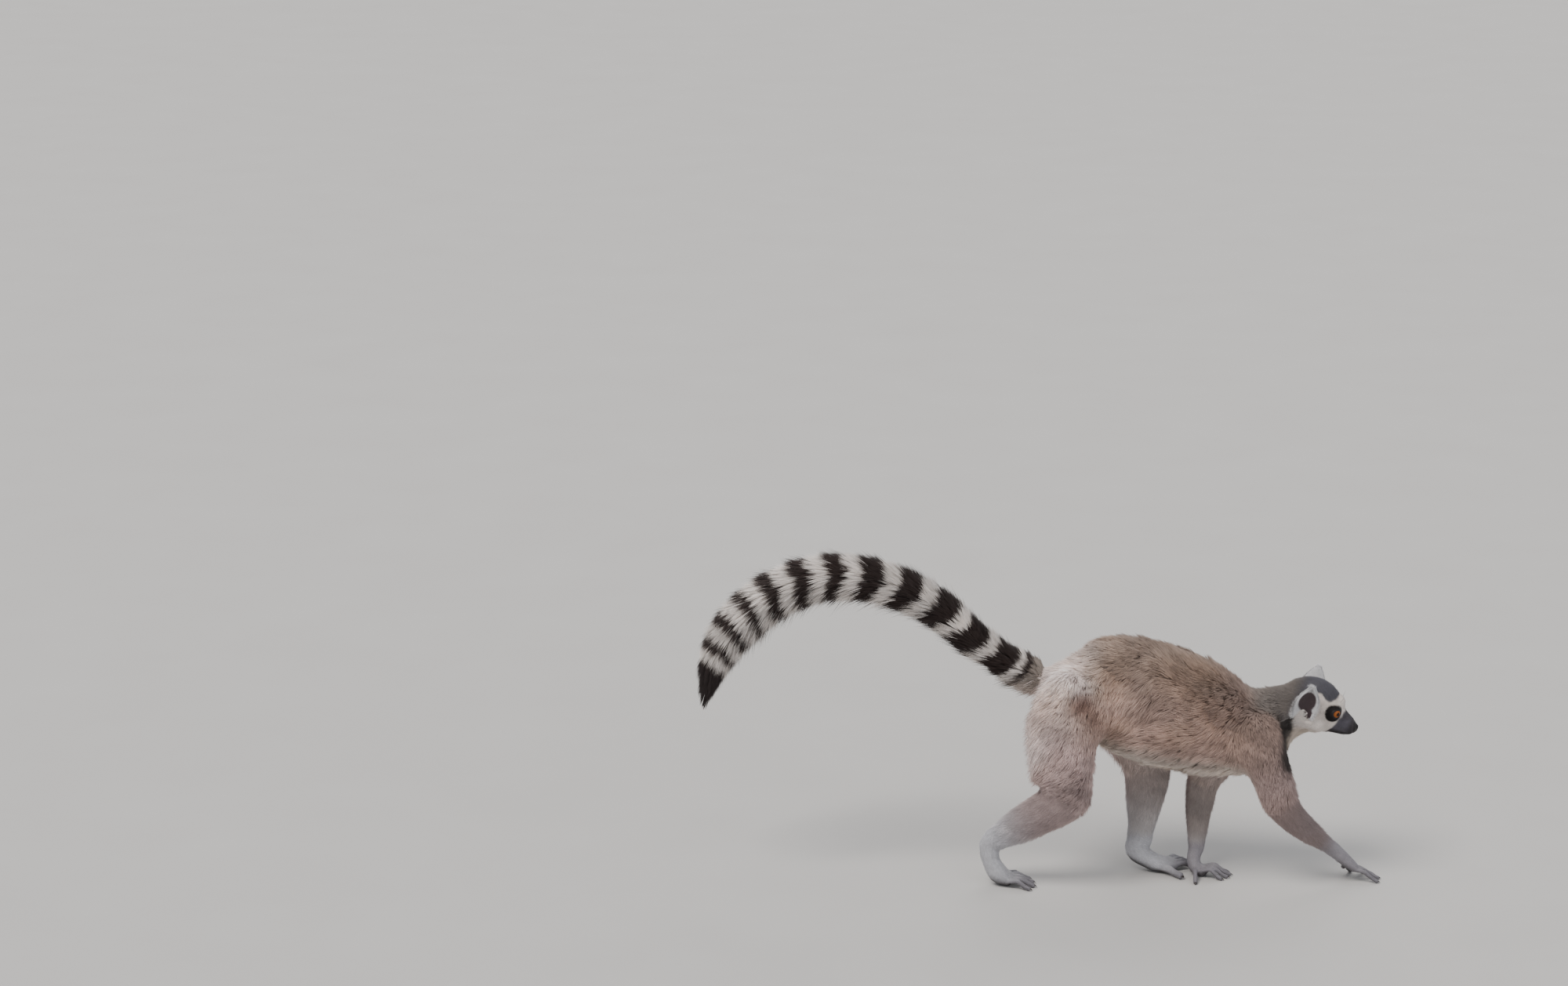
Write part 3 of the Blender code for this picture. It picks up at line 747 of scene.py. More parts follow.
        # The neck's dark band reaches the top of the leg: partly its own dark grey, partly painted
        # shadow.
        colour = blend(self.patched(colour, points), self.COLLAR_AND_SHADOW, self.collar_and_shadow(points))
        end, span = (self.PAW, (0.68, 1.0)) if hind else (self.HAND, (0.84, 1.02))
        colour = blend(colour, end, ramp(place, *span))
        inner = ramp(-normals[:, 1] * np.sign(points[:, 1] + 1e-9), 0.1, 0.7)
        return blend(colour, self.INNER, inner * 0.50)

    def patched(self, colour: Array, points: Array) -> Array:
        """The colours with every soft patch laid over them.

        Args:
            colour: colours, a row for each place.
            points: the places.

        Returns:
            The new colours.
        """
        for patch in self.PATCHES:
            colour = blend(colour, tone(*patch.colour), patch.share(points))
        return colour

    def collar_and_shadow(self, points: Array) -> Array:
        """How much of the dark band's colour each point takes: partly the neck's dark grey, partly
        painted shadow under the head.

        Args:
            points: the places.

        Returns:
            Shares from 0 to 1.
        """
        first, last = np.array(self.COLLAR_AND_SHADOW_ENDS)
        spot = points * (1, 0, 1) + np.abs(points) * (0, 1, 0)
        span = last - first
        t = np.clip(((spot - first) @ span) / (span @ span), 0, 1)
        gap = sizes_of((spot - first - t[:, None] * span) * (1, 0.32, 1))
        return ramp(gap / (1 + 0.45 * t), 0.018, 0.009) * 0.97

    def paw(self, points: Array, normals: Array, line: Line, hand: bool) -> Array:
        """Colours of a hand or foot, with dark pads underneath.

        Args:
            points: the places.
            normals: the way out at each.
            line: the paw's line.
            hand: whether it is a hand.

        Returns:
            Linear colours.
        """
        place = line.nearest(points)[0] / line.length
        colour = plain(self.HAND if hand else self.PAW, points)
        colour = blend(colour, self.TOES, ramp(place, 0.45, 0.9))
        pad = ramp(normals[:, 2], -0.25, -0.6) * ramp(points[:, 2], 0.030, 0.016)
        return blend(colour, self.PAD, pad)

    def colour(self, points: Array, normals: Array, node: Array,
               tail_place: Array | None = None) -> Array:
        """Colours at places on the outline.

        Args:
            points: the places.
            normals: the way out at each.
            node: index in FLESH of the node at each.
            tail_place: where along the tail each shows, if not where it lies.

        Returns:
            Linear colours, one row for each place.
        """
        out = np.empty((len(points), 3))
        for index, name in enumerate(FLESH):
            rows = np.flatnonzero(node == index)
            if not len(rows):
                continue
            spots, ways, zone = points[rows], normals[rows], ZONE_OF[name]
            line = self.bones.of_node[name]
            if zone is Zone.TAIL:
                place = line.nearest(spots)[0] if tail_place is None else tail_place[rows]
                pale = ramp(place, 0.032, 0.016) * ramp(ways[:, 2], 0.1, -0.6)
                pale = np.maximum(pale, 0.5 * ramp(place, 0.012, 0.002))
                out[rows] = blend(self.tail(place), self.BELLY, pale)
            elif zone is Zone.HEAD:
                out[rows] = self.face(spots)
            elif zone is Zone.EAR:
                out[rows] = self.ear(spots, ways)
            elif zone is Zone.NECK:
                out[rows] = self.neck(spots, ways)
            elif zone is Zone.TRUNK:
                out[rows] = self.trunk(spots, ways)
            elif zone is Zone.PAW:
                out[rows] = self.paw(spots, ways, line, name.startswith("hand"))
            else:
                out[rows] = self.leg(spots, ways, zone, line)
        return out


# ---- materials


class Shading:
    """A new material's nodes, added and joined by short calls."""

    def __init__(self, name: str) -> None:
        """Start a material from one Principled shader.

        Args:
            name: the material's name.
        """
        self.material = bpy.data.materials.new(name)
        self.material.use_nodes = True
        self.tree = self.material.node_tree
        self.shader = self.tree.nodes["Principled BSDF"]

    @staticmethod
    def fill(node: Node, inputs: dict[str, float]) -> None:
        """Set a node's inputs by name."""
        for name, value in inputs.items():
            node.inputs[name].default_value = value

    def add(self, kind: str, inputs: dict[str, float]) -> Node:
        """Add a node with these inputs.

        Args:
            kind: its type, without the usual first word.
            inputs: values by the inputs' names.

        Returns:
            The node.
        """
        node = self.tree.nodes.new(f"ShaderNode{kind}")
        self.fill(node, inputs)
        return node

    def join(self, source: Node, output: str, target: Node, place: str | int) -> None:
        """Join one node's output to an input of another.

        Args:
            source: the node that gives.
            output: its output.
            target: the node that takes.
            place: its input.
        """
        self.tree.links.new(source.outputs[output], target.inputs[place])

    def attribute(self, name: str) -> Node:
        """A node that reads one of the piece's own attributes.

        Args:
            name: the attribute's name.

        Returns:
            The node.
        """
        node = self.add("Attribute", {})
        node.attribute_name = name
        return node

    def noise(self, places: Node, output: str, scale: float, detail: float) -> Node:
        """A noise that follows places.

        Args:
            places: the node that gives the places.
            output: its output.
            scale: how fine the noise is.
            detail: how many finer layers it has.

        Returns:
            The noise node.
        """
        noise = self.add("TexNoise", {"Scale": scale, "Detail": detail})
        self.join(places, output, noise, "Vector")
        return noise

    def spread(self, noise: Node, taken: Span, given: Span) -> Node:
        """A node that turns one span of a noise's values into another.

        Args:
            noise: the noise.
            taken: the span of its values that counts.
            given: the span they become.

        Returns:
            The node.
        """
        names = ("From Min", "From Max", "To Min", "To Max")
        node = self.add("MapRange", dict(zip(names, (*taken, *given))))
        self.join(noise, "Fac", node, "Value")
        return node

    def paint(self, colour: Node, noise: Node, taken: Span, given: Span) -> None:
        """Give the shader a colour that a noise makes darker and lighter.

        Args:
            colour: the node that gives the colour.
            noise: the noise.
            taken: the span of the noise's values that counts.
            given: the darkest and the lightest share of the colour.
        """
        scaled = self.add("VectorMath", {})
        scaled.operation = "SCALE"
        self.join(colour, "Color", scaled, 0)
        self.join(self.spread(noise, taken, given), "Result", scaled, "Scale")
        self.join(scaled, "Vector", self.shader, "Base Color")


@dataclass(frozen=True)
class Finish:
    """A patterned surface: colours from the piece's own attribute, varied by fine noise."""

    name: str
    roughness: float
    specular: float
    sheen: float
    mottle: float
    grain: float
    bump: float
    roughness_spread: float = 0.08
    noise_span: Span = (0.25, 0.75)

    def material(self) -> Material:
        """The material of this finish, made once.

        Returns:
            The material.
        """
        found = bpy.data.materials.get(self.name)
        if found:
            return found
        made = Shading(self.name)
        made.fill(made.shader, {"Specular IOR Level": self.specular, "Sheen Weight": self.sheen})
        made.fill(made.shader, {"Sheen Roughness": 0.5})
        noise = made.noise(made.add("TexCoord", {}), "Object", self.grain, 4)
        colour = made.attribute(COLOUR)
        made.paint(colour, noise, self.noise_span, (1 - self.mottle, 1 + self.mottle))
        low, high = self.roughness - self.roughness_spread, self.roughness + self.roughness_spread
        made.join(made.spread(noise, (0, 1), (low, high)), "Result", made.shader, "Roughness")
        if self.bump:
            ridge = made.add("Bump", {"Strength": 0.6, "Distance": self.bump})
            made.join(noise, "Fac", ridge, "Height")
            made.join(ridge, "Normal", made.shader, "Normal")
        return made.material


HAIR = Finish("coat_hair", 0.62, 0.28, 0.12, mottle=0.10, grain=700, bump=0)
HIDE = Finish("bare_and_furred_skin", 0.55, 0.30, 0.05, mottle=0.16, grain=1400, bump=0.0004)
HORN = Finish("horn_of_claws", 0.32, 0.45, 0.0, mottle=0.12, grain=900, bump=0.0001)


@dataclass(frozen=True)
class WetEye:
    """Amber iris with fine rays, a round pupil and a dark rim, under a clear wet coat.

    The stops give colours by the angle out from the gaze, in radians.
    """

    name: str = "wet_amber_eye"
    # The iris's oranges are deeper than a lit eye's bright orange: partly painted shade.
    stops: tuple[tuple[float, tuple[float, float, float]], ...] = (
        (0.235, (0.004, 0.003, 0.003)),
        (0.26, (0.20, 0.055, 0.008)),
        (0.42, (0.31, 0.088, 0.012)),
        (0.62, (0.23, 0.058, 0.008)),
        (0.70, (0.08, 0.022, 0.005)),
        (0.76, (0.012, 0.008, 0.008)),
    )

    def material(self) -> Material:
        """The material of one eye.

        Returns:
            The material.
        """
        made = Shading(self.name)
        made.fill(made.shader, {"Roughness": 0.25, "Specular IOR Level": 0.0})
        made.fill(made.shader, {"Coat Weight": 0.5, "Coat Roughness": 0.03})
        place = made.attribute(IRIS_PLACE)
        split = made.add("SeparateXYZ", {})
        made.join(place, "Vector", split, "Vector")
        bands = made.add("ValToRGB", {})
        elements = bands.color_ramp.elements
        for angle, colour in self.stops[1:]:
            elements.new(angle).color = (*colour, 1)
        elements[0].position = self.stops[0][0]
        elements[0].color = (*self.stops[0][1], 1)
        elements[-1].color = (*self.stops[-1][1], 1)
        made.join(split, "Z", bands, "Fac")
        rays = made.noise(place, "Vector", 9, 3)
        made.paint(bands, rays, (0.3, 0.7), (0.65, 1.25))
        return made.material


# ---- meshes


def added(name: str, data: bpy.types.ID) -> Object:
    """A new object of the scene that holds the data.

    Args:
        name: the object's name.
        data: its mesh, light or camera.

    Returns:
        The object.
    """
    made = bpy.data.objects.new(name, data)
    bpy.context.scene.collection.objects.link(made)
    return made


def move_vertices(mesh: Mesh, points: Array) -> None:
    """Put a mesh's vertices at these points."""
    mesh.vertices.foreach_set("co", points.astype(np.float32).ravel())
    mesh.update()


def object_from(name: str, points: Array, faces: Array) -> Object:
    """An object whose mesh has these points and triangles, shaded smooth.

    Args:
        name: the object's name.
        points: its vertices.
        faces: its triangles.

    Returns:
        The object.
    """
    mesh = bpy.data.meshes.new(name)
    mesh.vertices.add(len(points))
    mesh.vertices.foreach_set("co", points.astype(np.float32).ravel())
    mesh.loops.add(faces.size)
    mesh.loops.foreach_set("vertex_index", faces.astype(np.int32).ravel())
    mesh.polygons.add(len(faces))
    starts = np.arange(0, faces.size, faces.shape[1], dtype=np.int32)
    mesh.polygons.foreach_set("loop_start", starts)
    mesh.update(calc_edges=True)
    mesh.validate()
    mesh.shade_smooth()
    return added(name, mesh)


def soften(made: Object, faces: Array, ways: Array, share: float = 0.60) -> None:
    """Turn the corners' normals towards the way out of the body, so that tufts shade as one coat.

    Args:
        made: the joined tufts.
        faces: their triangles.
        ways: the way out of the body at each vertex.
        share: how far the corners turn. Those on faces that look inward stay square to them.
    """
    least_agreement = 0.08
    corners = vertices_of(made.data)[faces]
    square = unit(np.cross(corners[:, 1] - corners[:, 0], corners[:, 2] - corners[:, 0]))[:, None]
    turned = unit(square * (1 - share) + ways[faces] * share)
    keep = (turned * square).sum(-1, keepdims=True) < least_agreement
    turned = np.where(keep, np.broadcast_to(square, turned.shape), turned)
    made.data.normals_split_custom_set(turned.reshape(-1, 3).astype(np.float32))


def paint(made: Object, colours: Array) -> None:
    """Store linear colours on the vertices.

    Args:
        made: the piece.
        colours: a row for each vertex.
    """
    layer = made.data.color_attributes.new(COLOUR, "FLOAT_COLOR", "POINT")
    rows = np.ones((len(colours), 4), np.float32)
    rows[:, :3] = colours
    layer.data.foreach_set("color", rows.ravel())


def dress(made: Object, material: Material) -> None:
    """Give a finished piece its material and its body.

    Args:
        made: the piece.
        material: its material.
    """
    made.data.materials.clear()
    made.data.materials.append(material)
    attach(made, BODY)
    LOG.info("%s: %d faces", made.name, len(made.data.polygons))


def vertices_of(mesh: Mesh, what: str = "co") -> Array:
    """Vertex places or normals as rows.

    Args:
        mesh: the mesh.
        what: co for places or normal for normals.

    Returns:
        One row for each vertex.
    """
    rows = np.empty(len(mesh.vertices) * 3, np.float32)
    mesh.vertices.foreach_get(what, rows)
    return rows.reshape(-1, 3).astype(float)


def edges_of(mesh: Mesh) -> Array:
    """Edges as pairs of vertices.

    Args:
        mesh: the mesh.

    Returns:
        A row of two for each edge.
    """
    rows = np.empty(len(mesh.edges) * 2, np.int32)
    mesh.edges.foreach_get("vertices", rows)
    return rows.reshape(-1, 2)


def triangles_of(mesh: Mesh) -> Array:
    """Triangles as threes of vertices.

    Args:
        mesh: the mesh.

    Returns:
        A row of three for each triangle.
    """
    mesh.calc_loop_triangles()
    rows = np.empty(len(mesh.loop_triangles) * 3, np.int32)
    mesh.loop_triangles.foreach_get("vertices", rows)
    return rows.reshape(-1, 3)


def tree_of(points: Array) -> KDTree:
    """A tree that finds the nearest of the points.

    Args:
        points: the places.

    Returns:
        The tree, by the places' rows.
    """
    tree = KDTree(len(points))
    for index, spot in enumerate(points.tolist()):
        tree.insert(spot, index)
    tree.balance()
    return tree


def only(made: Object) -> None:
    """Select and activate one object.

    Args:
        made: the object.
    """
    bpy.ops.object.select_all(action="DESELECT")
    made.select_set(True)
    bpy.context.view_layer.objects.active = made


def edit_whole(operator: Callable[..., set[str]], **settings: object) -> None:
    """Run a mesh operator on the whole of the active object, in edit mode.

    Args:
        operator: one of the mesh operators.
        settings: its arguments.
    """
    bpy.ops.object.mode_set(mode="EDIT")
    bpy.ops.mesh.select_all(action="SELECT")
    operator(**settings)
    bpy.ops.object.mode_set(mode="OBJECT")


def apply_modifier(made: Object, kind: str, **settings: object) -> None:
    """Add a modifier to an object and apply it.

    Args:
        made: the object.
        kind: the modifier's type.
        settings: its properties.
    """
    only(made)
    modifier = made.modifiers.new(kind.lower(), kind)
    for key, value in settings.items():
        setattr(modifier, key, value)
    bpy.ops.object.modifier_apply(modifier=modifier.name)


# ---- outline of flesh and coat


class Outline:
    """The animal's outline out to the tips of the hair, as one closed mesh with its fields."""

    VOXEL = 1.25 * MM
    OVERLAP = 0.35 * MM
    # Radius of the tail's skin, and of its hair at the very tip.
    CORE = 8.5 * MM
    TAIL_TIP = 4.5 * MM
    # Rounds in which the broad forms are eased, and how far each round goes.
    EASING = 90
    EASING_STEP = 0.8
    # Above this height in the head's frame, an ear keeps this share of its height.
    EAR_KEPT = 27 * MM
    EAR_TIP = 0.76
    # Rounds over which the skin's depth and the hair's size change from zone to zone.
    DEPTH_ROUNDS = 130
    GROWTH_ROUNDS = 320
    # Rounds and reach of the filling at knees and elbows.
    FILLING = (6, 30)
    FILL_REACH = (0.046, 0.026)

    def __init__(self, bones: Bones) -> None:
        """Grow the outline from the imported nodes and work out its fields.

        Args:
            bones: the lines through the limbs, trunk and tail.
        """
        self.bones = bones
        self.body = self.fused()
        mesh = self.body.data
        self.graph = Graph(edges_of(mesh), len(mesh.vertices))
        self.triangles = triangles_of(mesh)
        self.points = vertices_of(mesh)
        self.node = self.nearest_node()
        self.lower_ears()
        self.ease()
        self.fill_creases()
        move_vertices(mesh, self.points)
        self.normals = unit(self.graph.smooth(vertices_of(mesh, "normal"), 2))
        self.tree = BVHTree.FromPolygons(self.points.tolist(), self.triangles.tolist())
        corners = self.points[self.triangles]
        across = np.cross(corners[:, 1] - corners[:, 0], corners[:, 2] - corners[:, 0])
        self.area = sizes_of(across) / 2
        self.find_tail()
        self.flow = self.lie()
        self.inward = self.inward_field()
        self.growth = self.growth_field()
        LOG.info("outline: %d vertices, %.3f square metres", len(self.points), self.area.sum())

    def lower_ears(self) -> None:
        """Bring the ears' tips down."""
        ears = self.of_zone(Zone.EAR)
        place = self.bones.head.local(self.points[ears])
        place[:, 2] -= (1 - self.EAR_TIP) * np.maximum(place[:, 2] - self.EAR_KEPT, 0)
        self.points[ears] = self.bones.head.world(place)

    def ease(self) -> None:
        """Ease the seams between nodes, little on head and paws and much on trunk and legs."""
        fine = in_zones(self.node, *FINE)
        share = self.graph.smooth(np.where(fine, 0.25, 1.0)[:, None], 6)[:, 0]
        self.points = self.graph.relax(self.points, 26, share)
        broad = np.zeros(len(self.points))
        broad[self.of_zone(*LONG_HAIRED)] = 1.0
        broad[self.of_zone(Zone.SHANK, Zone.FOREARM)] = 0.6
        step = self.EASING_STEP * self.graph.smooth(broad[:, None], 12) ** 2
        for _ in range(self.EASING):
            self.points = self.points + step * (self.graph.mean(self.points) - self.points)

    def fill_creases(self) -> None:
        """Raise the hollows at knees and elbows, where one length of a leg laps over the next."""
        share = np.zeros(len(self.points))
        for spot in self.bones.knees:
            gap = sizes_of(self.points - spot)
            share = np.maximum(share, ramp(gap, *self.FILL_REACH))
        rows = share > 0
        turns, rounds = self.FILLING
        for _ in range(turns):
            move_vertices(self.body.data, self.points)
            ways = vertices_of(self.body.data, "normal")
            for _ in range(rounds):
                step = self.graph.mean(self.points) - self.points
                rise = np.maximum((step * ways).sum(1), 0) * share
                self.points[rows] += (ways * (0.9 * rise)[:, None])[rows]

    def fused(self) -> Object:
        """Copies of the nodes grown into one closed mesh.

        Returns:
            The closed mesh's object.
        """
        bpy.ops.object.select_all(action="DESELECT")
        copies = []
        for name in (*FLESH, "eye_left", "eye_right"):
            copy = added("outline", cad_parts[name].data.copy())
            copy.select_set(True)
            copies.append(copy)
        bpy.context.view_layer.objects.active = copies[0]
        bpy.ops.object.join()
        body = copies[0]
        edit_whole(bpy.ops.mesh.remove_doubles, threshold=0.02 * MM)
        apply_modifier(body, "DISPLACE", strength=self.OVERLAP, mid_level=0.0)
        apply_modifier(body, "REMESH", mode="VOXEL", voxel_size=self.VOXEL)
        edit_whole(bpy.ops.mesh.separate, type="LOOSE")
        loose = sorted(bpy.context.selected_objects, key=lambda made: len(made.data.vertices))
        for crumb in loose[:-1]:
            bpy.data.objects.remove(crumb)
        LOG.info("outline: %d crumbs removed", len(loose) - 1)
        return loose[-1]

    def nearest_node(self) -> Array:
        """The index in FLESH of the node nearest each vertex.

        Returns:
            An index for each vertex.
        """
        rows, faces, owner, start = [], [], [], 0
        for index, name in enumerate(FLESH):
            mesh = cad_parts[name].data
            spots, threes = vertices_of(mesh), triangles_of(mesh)
            rows.append(spots)
            faces.append(threes + start)
            owner += [index] * len(threes)
            start += len(spots)
        tree = BVHTree.FromPolygons(np.vstack(rows).tolist(), np.vstack(faces).tolist())
        return np.array([owner[tree.find_nearest(spot)[2]] for spot in self.points.tolist()])

    def of_zone(self, *zones: Zone) -> Array:
        """Indices of the vertices in these zones."""
        return np.flatnonzero(in_zones(self.node, *zones))

    def find_tail(self) -> None:
        """Measure the tail's radius along its line."""
        rows = self.of_zone(Zone.TAIL)
        place, centre, _ = self.bones.tail.nearest(self.points[rows])
        radius = sizes_of(self.points[rows] - centre)
        self.tail_places = np.linspace(0, self.bones.tail.length, 70)
        near = np.abs(place[None] - self.tail_places[:, None]) < 6 * MM
        radii = [np.median(radius[mask]) if mask.any() else 6 * MM for mask in near]
        self.tail_radii = np.array([*radii[:-1], self.TAIL_TIP])

    def tail_radius(self, place: Array) -> Array:
        """The tail's radius out to the hair tips at places along it."""
        return np.interp(place, self.tail_places, self.tail_radii)

    def core_place(self, place: Array) -> Array:
        """Where along the tail the skin lies under places of the outline. It ends earlier."""
        length = self.bones.tail.length
        return place - 0.058 * length * ramp(place / length, 0.55, 1.0)

    def core_radius(self, place: Array) -> Array:
        """Radius of the tail's skin under places of the outline.

        Args:
            place: lengths along the tail, in metres.

        Returns:
            Radii in metres.
        """
        outer = self.tail_radius(place)
        thin = np.minimum(self.CORE, outer * 0.45)
        return thin + (outer - 5 * MM - thin) * ramp(place, 0.045, 0.0)

    def inward_field(self) -> Array:
        """The step from each vertex of the outline down to the skin.

        Returns:
            A step for each vertex, in metres.
        """
        depth = np.array([STYLES[ZONE_OF[name]].depth for name in FLESH])[self.node]
        head = self.of_zone(Zone.HEAD)
        x, _, z = (self.bones.head.local(self.points[head]) / MM).T
        face = 2.6 - 1.9 * ramp(x, 26, 42) + 1.4 * ramp(x, 24, 8) * ramp(z, 2, -14)
        face = face - 0.35 * ramp(x, 52, 60)
        depth[head] = face * MM
        legs = self.of_zone(Zone.SHANK, Zone.FOREARM, Zone.PAW)
        depth[legs] = self.graph.smooth(depth[:, None], self.DEPTH_ROUNDS)[legs, 0]
        steps = -self.normals * depth[:, None]
        tail = self.of_zone(Zone.TAIL)
        place, centre, _ = self.bones.tail.nearest(self.points[tail])
        out = self.points[tail] - centre
        radius = sizes_of(out)
        core, _ = self.bones.tail.at(self.core_place(place))
        thin = core + out * (self.core_radius(place) / np.maximum(radius, MM))[:, None]
        steps[tail] = thin - self.points[tail]
        return self.graph.smooth(steps, 14)

    def growth_field(self) -> Array:
        """Length and width of the hair at each vertex, changing softly from zone to zone.

        Returns:
            Length and width for each vertex.
        """
        styles = [STYLES[ZONE_OF[name]] for name in FLESH]
        sizes = np.array([(style.length, style.width) for style in styles])
        return self.graph.smooth(sizes[self.node], self.GROWTH_ROUNDS)

    def stain(self, markings: Markings) -> None:
        """Colour every vertex, softly from zone to zone but crisply on head and tail.

        Args:
            markings: the animal's colours.
        """
        crisp = markings.colour(self.points, self.normals, self.node)
        soft = np.ones((len(self.points), 1))
        soft[self.of_zone(Zone.HEAD, Zone.EAR, Zone.TAIL)] = 0
        soft = self.graph.smooth(soft, 10)[:, 0]
        self.colour = blend(crisp, self.graph.smooth(crisp, 36), soft)

    def lie(self) -> Array:
        """The way the hair points at each vertex, before it is laid flat on the surface.

        Returns:
            A direction for each vertex.
        """
        flow = np.zeros_like(self.points)
        head = self.bones.head
        back, down = np.array((-1.0, 0, 0)), np.array((0, 0, -1.0))
        backward = dict.fromkeys((Zone.THIGH, Zone.ARM), 0.45)
        backward |= dict.fromkeys((Zone.SHANK, Zone.FOREARM), 0.12)
        for index, name in enumerate(FLESH):
            rows = np.flatnonzero(self.node == index)
            zone, spots = ZONE_OF[name], self.points[rows]
            place = head.local(spots)
            if zone is Zone.HEAD:
                away = unit(place - (70 * MM, 0, -2 * MM))
                away[:, 2] -= 0.35 * ramp(place[:, 2], 0, -18 * MM)
                flow[rows] = away @ head.axes
                continue
            if zone is Zone.EAR:
                fan = (place - (-2 * MM, 0, 16 * MM)) / (13 * MM, 1, 20 * MM)
                fan[:, 1] = 0.25 * np.sign(place[:, 1])
                flow[rows] = (fan + (-0.25, 0, 0.35)) @ head.axes
                continue
            tangent = self.bones.of_node[name].nearest(spots)[2]
            if zone in (Zone.TRUNK, Zone.NECK):
                tangent = tangent + down * 0.55 * np.abs(self.normals[rows, 1:2])
            flow[rows] = tangent + back * backward.get(zone, 0.0)
        return self.graph.smooth(flow, 45)


# ---- face


@dataclass
class Face:
    """The folds of the face, in the head's frame and millimetres: lids, nostrils, lips.

    Hair starts at hair_from_lids, in half widths of the lids, and ends at nose_from. A place
    more than lid_reach radii from an eye's middle has no lid.
    """

    head: HeadFrame
    eye_radius: float = 8.5
    lid_half_width: float = 6.0
    lid_half_height: float = 4.5
    lid_thickness: float = 0.5
    lid_fold: float = 0.25
    lid_tuck: float = 1.3
    lid_reach: float = 2.2
    no_lid: float = 9.0
    nostril: tuple[tuple[float, ...], ...] = ((66.8, 2.0, -3.0), (64.4, 4.6, -1.4))
    nostril_depth: float = 1.5
    nostril_width: float = 0.75
    cleft_depth: float = 0.7
    cleft_width: float = 0.55
    lip_fullness: float = 0.35
    mouth_depth: float = 1.1
    mouth_from: float = 37
    bare_lip: float = 0.9
    hair_from_lids: float = 1.22
    nose_from: float = 60.5

    @staticmethod
    def mouth_line(x: Array) -> Array:
        """The height of the mouth's line at places along the head."""
        return -10.6 - 3.4 * ramp(x, 60, 38)

    def lid_distance(self, place: Array, side: int) -> tuple[Array, Array, Array]:
        """Measure places from the pupil.

        Args:
            place: places in the head's frame.
            side: 1 for the left eye, -1 for the right.

        Returns:
            How far out each is, 1 at the lids' edge, with its offset and distance from the
            eye's middle.
        """
        look, along, over = self.head.gaze(side)
        middle = self.head.EYE * (1, side, 1) / MM
        out = place - middle
        reach = sizes_of(out)
        way = out / np.maximum(reach, 1e-6)[:, None]
        h, v, f = way @ along * side, way @ over, way @ look
        spread = self.eye_radius * np.arccos(np.clip(f, -1, 1)) / np.maximum(np.hypot(h, v), 1e-6)
        h, v = h * spread, v * spread
        ratio = np.sqrt((h / self.lid_half_width) ** 2 + (v / self.lid_half_height) ** 2)
        near = reach < self.lid_reach * self.eye_radius
        return np.where(near, ratio, self.no_lid), out, reach

    def shaped(self, points: Array) -> Array:
        """Points moved so that lids, nostrils and lips take their form.

        Args:
            points: places near the skin, in the part's frame.

        Returns:
            The moved points.
        """
        place = self.head.local(points) / MM
        x, side, height = place[:, 0], np.abs(place[:, 1]), np.abs(place[:, 2])
        near = np.flatnonzero((x > 10) & (side < 40) & (height < 45))
        part = place[near]
        for side in (-1, 1):
            ratio, out, reach = self.lid_distance(part, side)
            fold = self.lid_fold * np.exp(-(((ratio - 1.25) / 0.16) ** 2))
            lid = self.eye_radius + self.lid_thickness + fold
            under = self.eye_radius - self.lid_tuck
            aim = under + (lid - under) * ramp(ratio, 0.86, 1.10)
            hold = ramp(ratio, 2.0, 1.2) * ramp(reach, 15.0, 11.0)
            part = part + out * ((aim - reach) * hold / np.maximum(reach, 1e-6))[:, None]
        part = part + self.nostrils(part) + self.lips(part)
        place[near] = part
        return self.head.world(place * MM)

    def nostrils(self, place: Array) -> Array:
        """Steps that sink the two comma-shaped nostrils and the cleft under the nose.

        Args:
            place: places in the head's frame.

        Returns:
            One step for each.
        """
        step = np.zeros_like(place)
        x, y, z = place.T
        side = np.abs(y)
        a, b = np.array(self.nostril)
        spot = np.stack((x, side, z), -1)
        t = np.clip(((spot - a) @ (b - a)) / ((b - a) @ (b - a)), 0, 1)
        gap = sizes_of(spot - (a + t[:, None] * (b - a)))
        sink = self.nostril_depth * (1 - 0.4 * t) * np.exp(-((gap / self.nostril_width) ** 2))
        step[:, 0] -= sink * 0.8
        step[:, 1] -= sink * 0.6 * np.sign(y)
        cleft = self.cleft_depth * np.exp(-((y / self.cleft_width) ** 2))
        step[:, 0] -= cleft * ramp(z, -3.5, -5.0) * ramp(z, -11.5, -9.5) * ramp(x, 58, 61)
        return step

    def lips(self, place: Array) -> Array:
        """Steps that sink the line of the mouth.

        Args:
            place: places in the head's frame.

        Returns:
            One step for each.
        """
        x, y, z = place.T
        line = self.mouth_line(x)
        groove = np.exp(-(((z - line) / 0.55) ** 2)) * ramp(x, 33, 38)
        lip = np.exp(-(((z - line + 1.5) / 1.1) ** 2)) * ramp(x, 40, 50)
        aside = np.sign(y) * np.minimum(np.abs(y) / 4, 1.0)
        out = np.stack((np.where(x > 58, 0.7, 0.1), aside, 0 * x), -1)
        return out * (self.lip_fullness * lip - self.mouth_depth * groove)[:, None]


# ---- skin


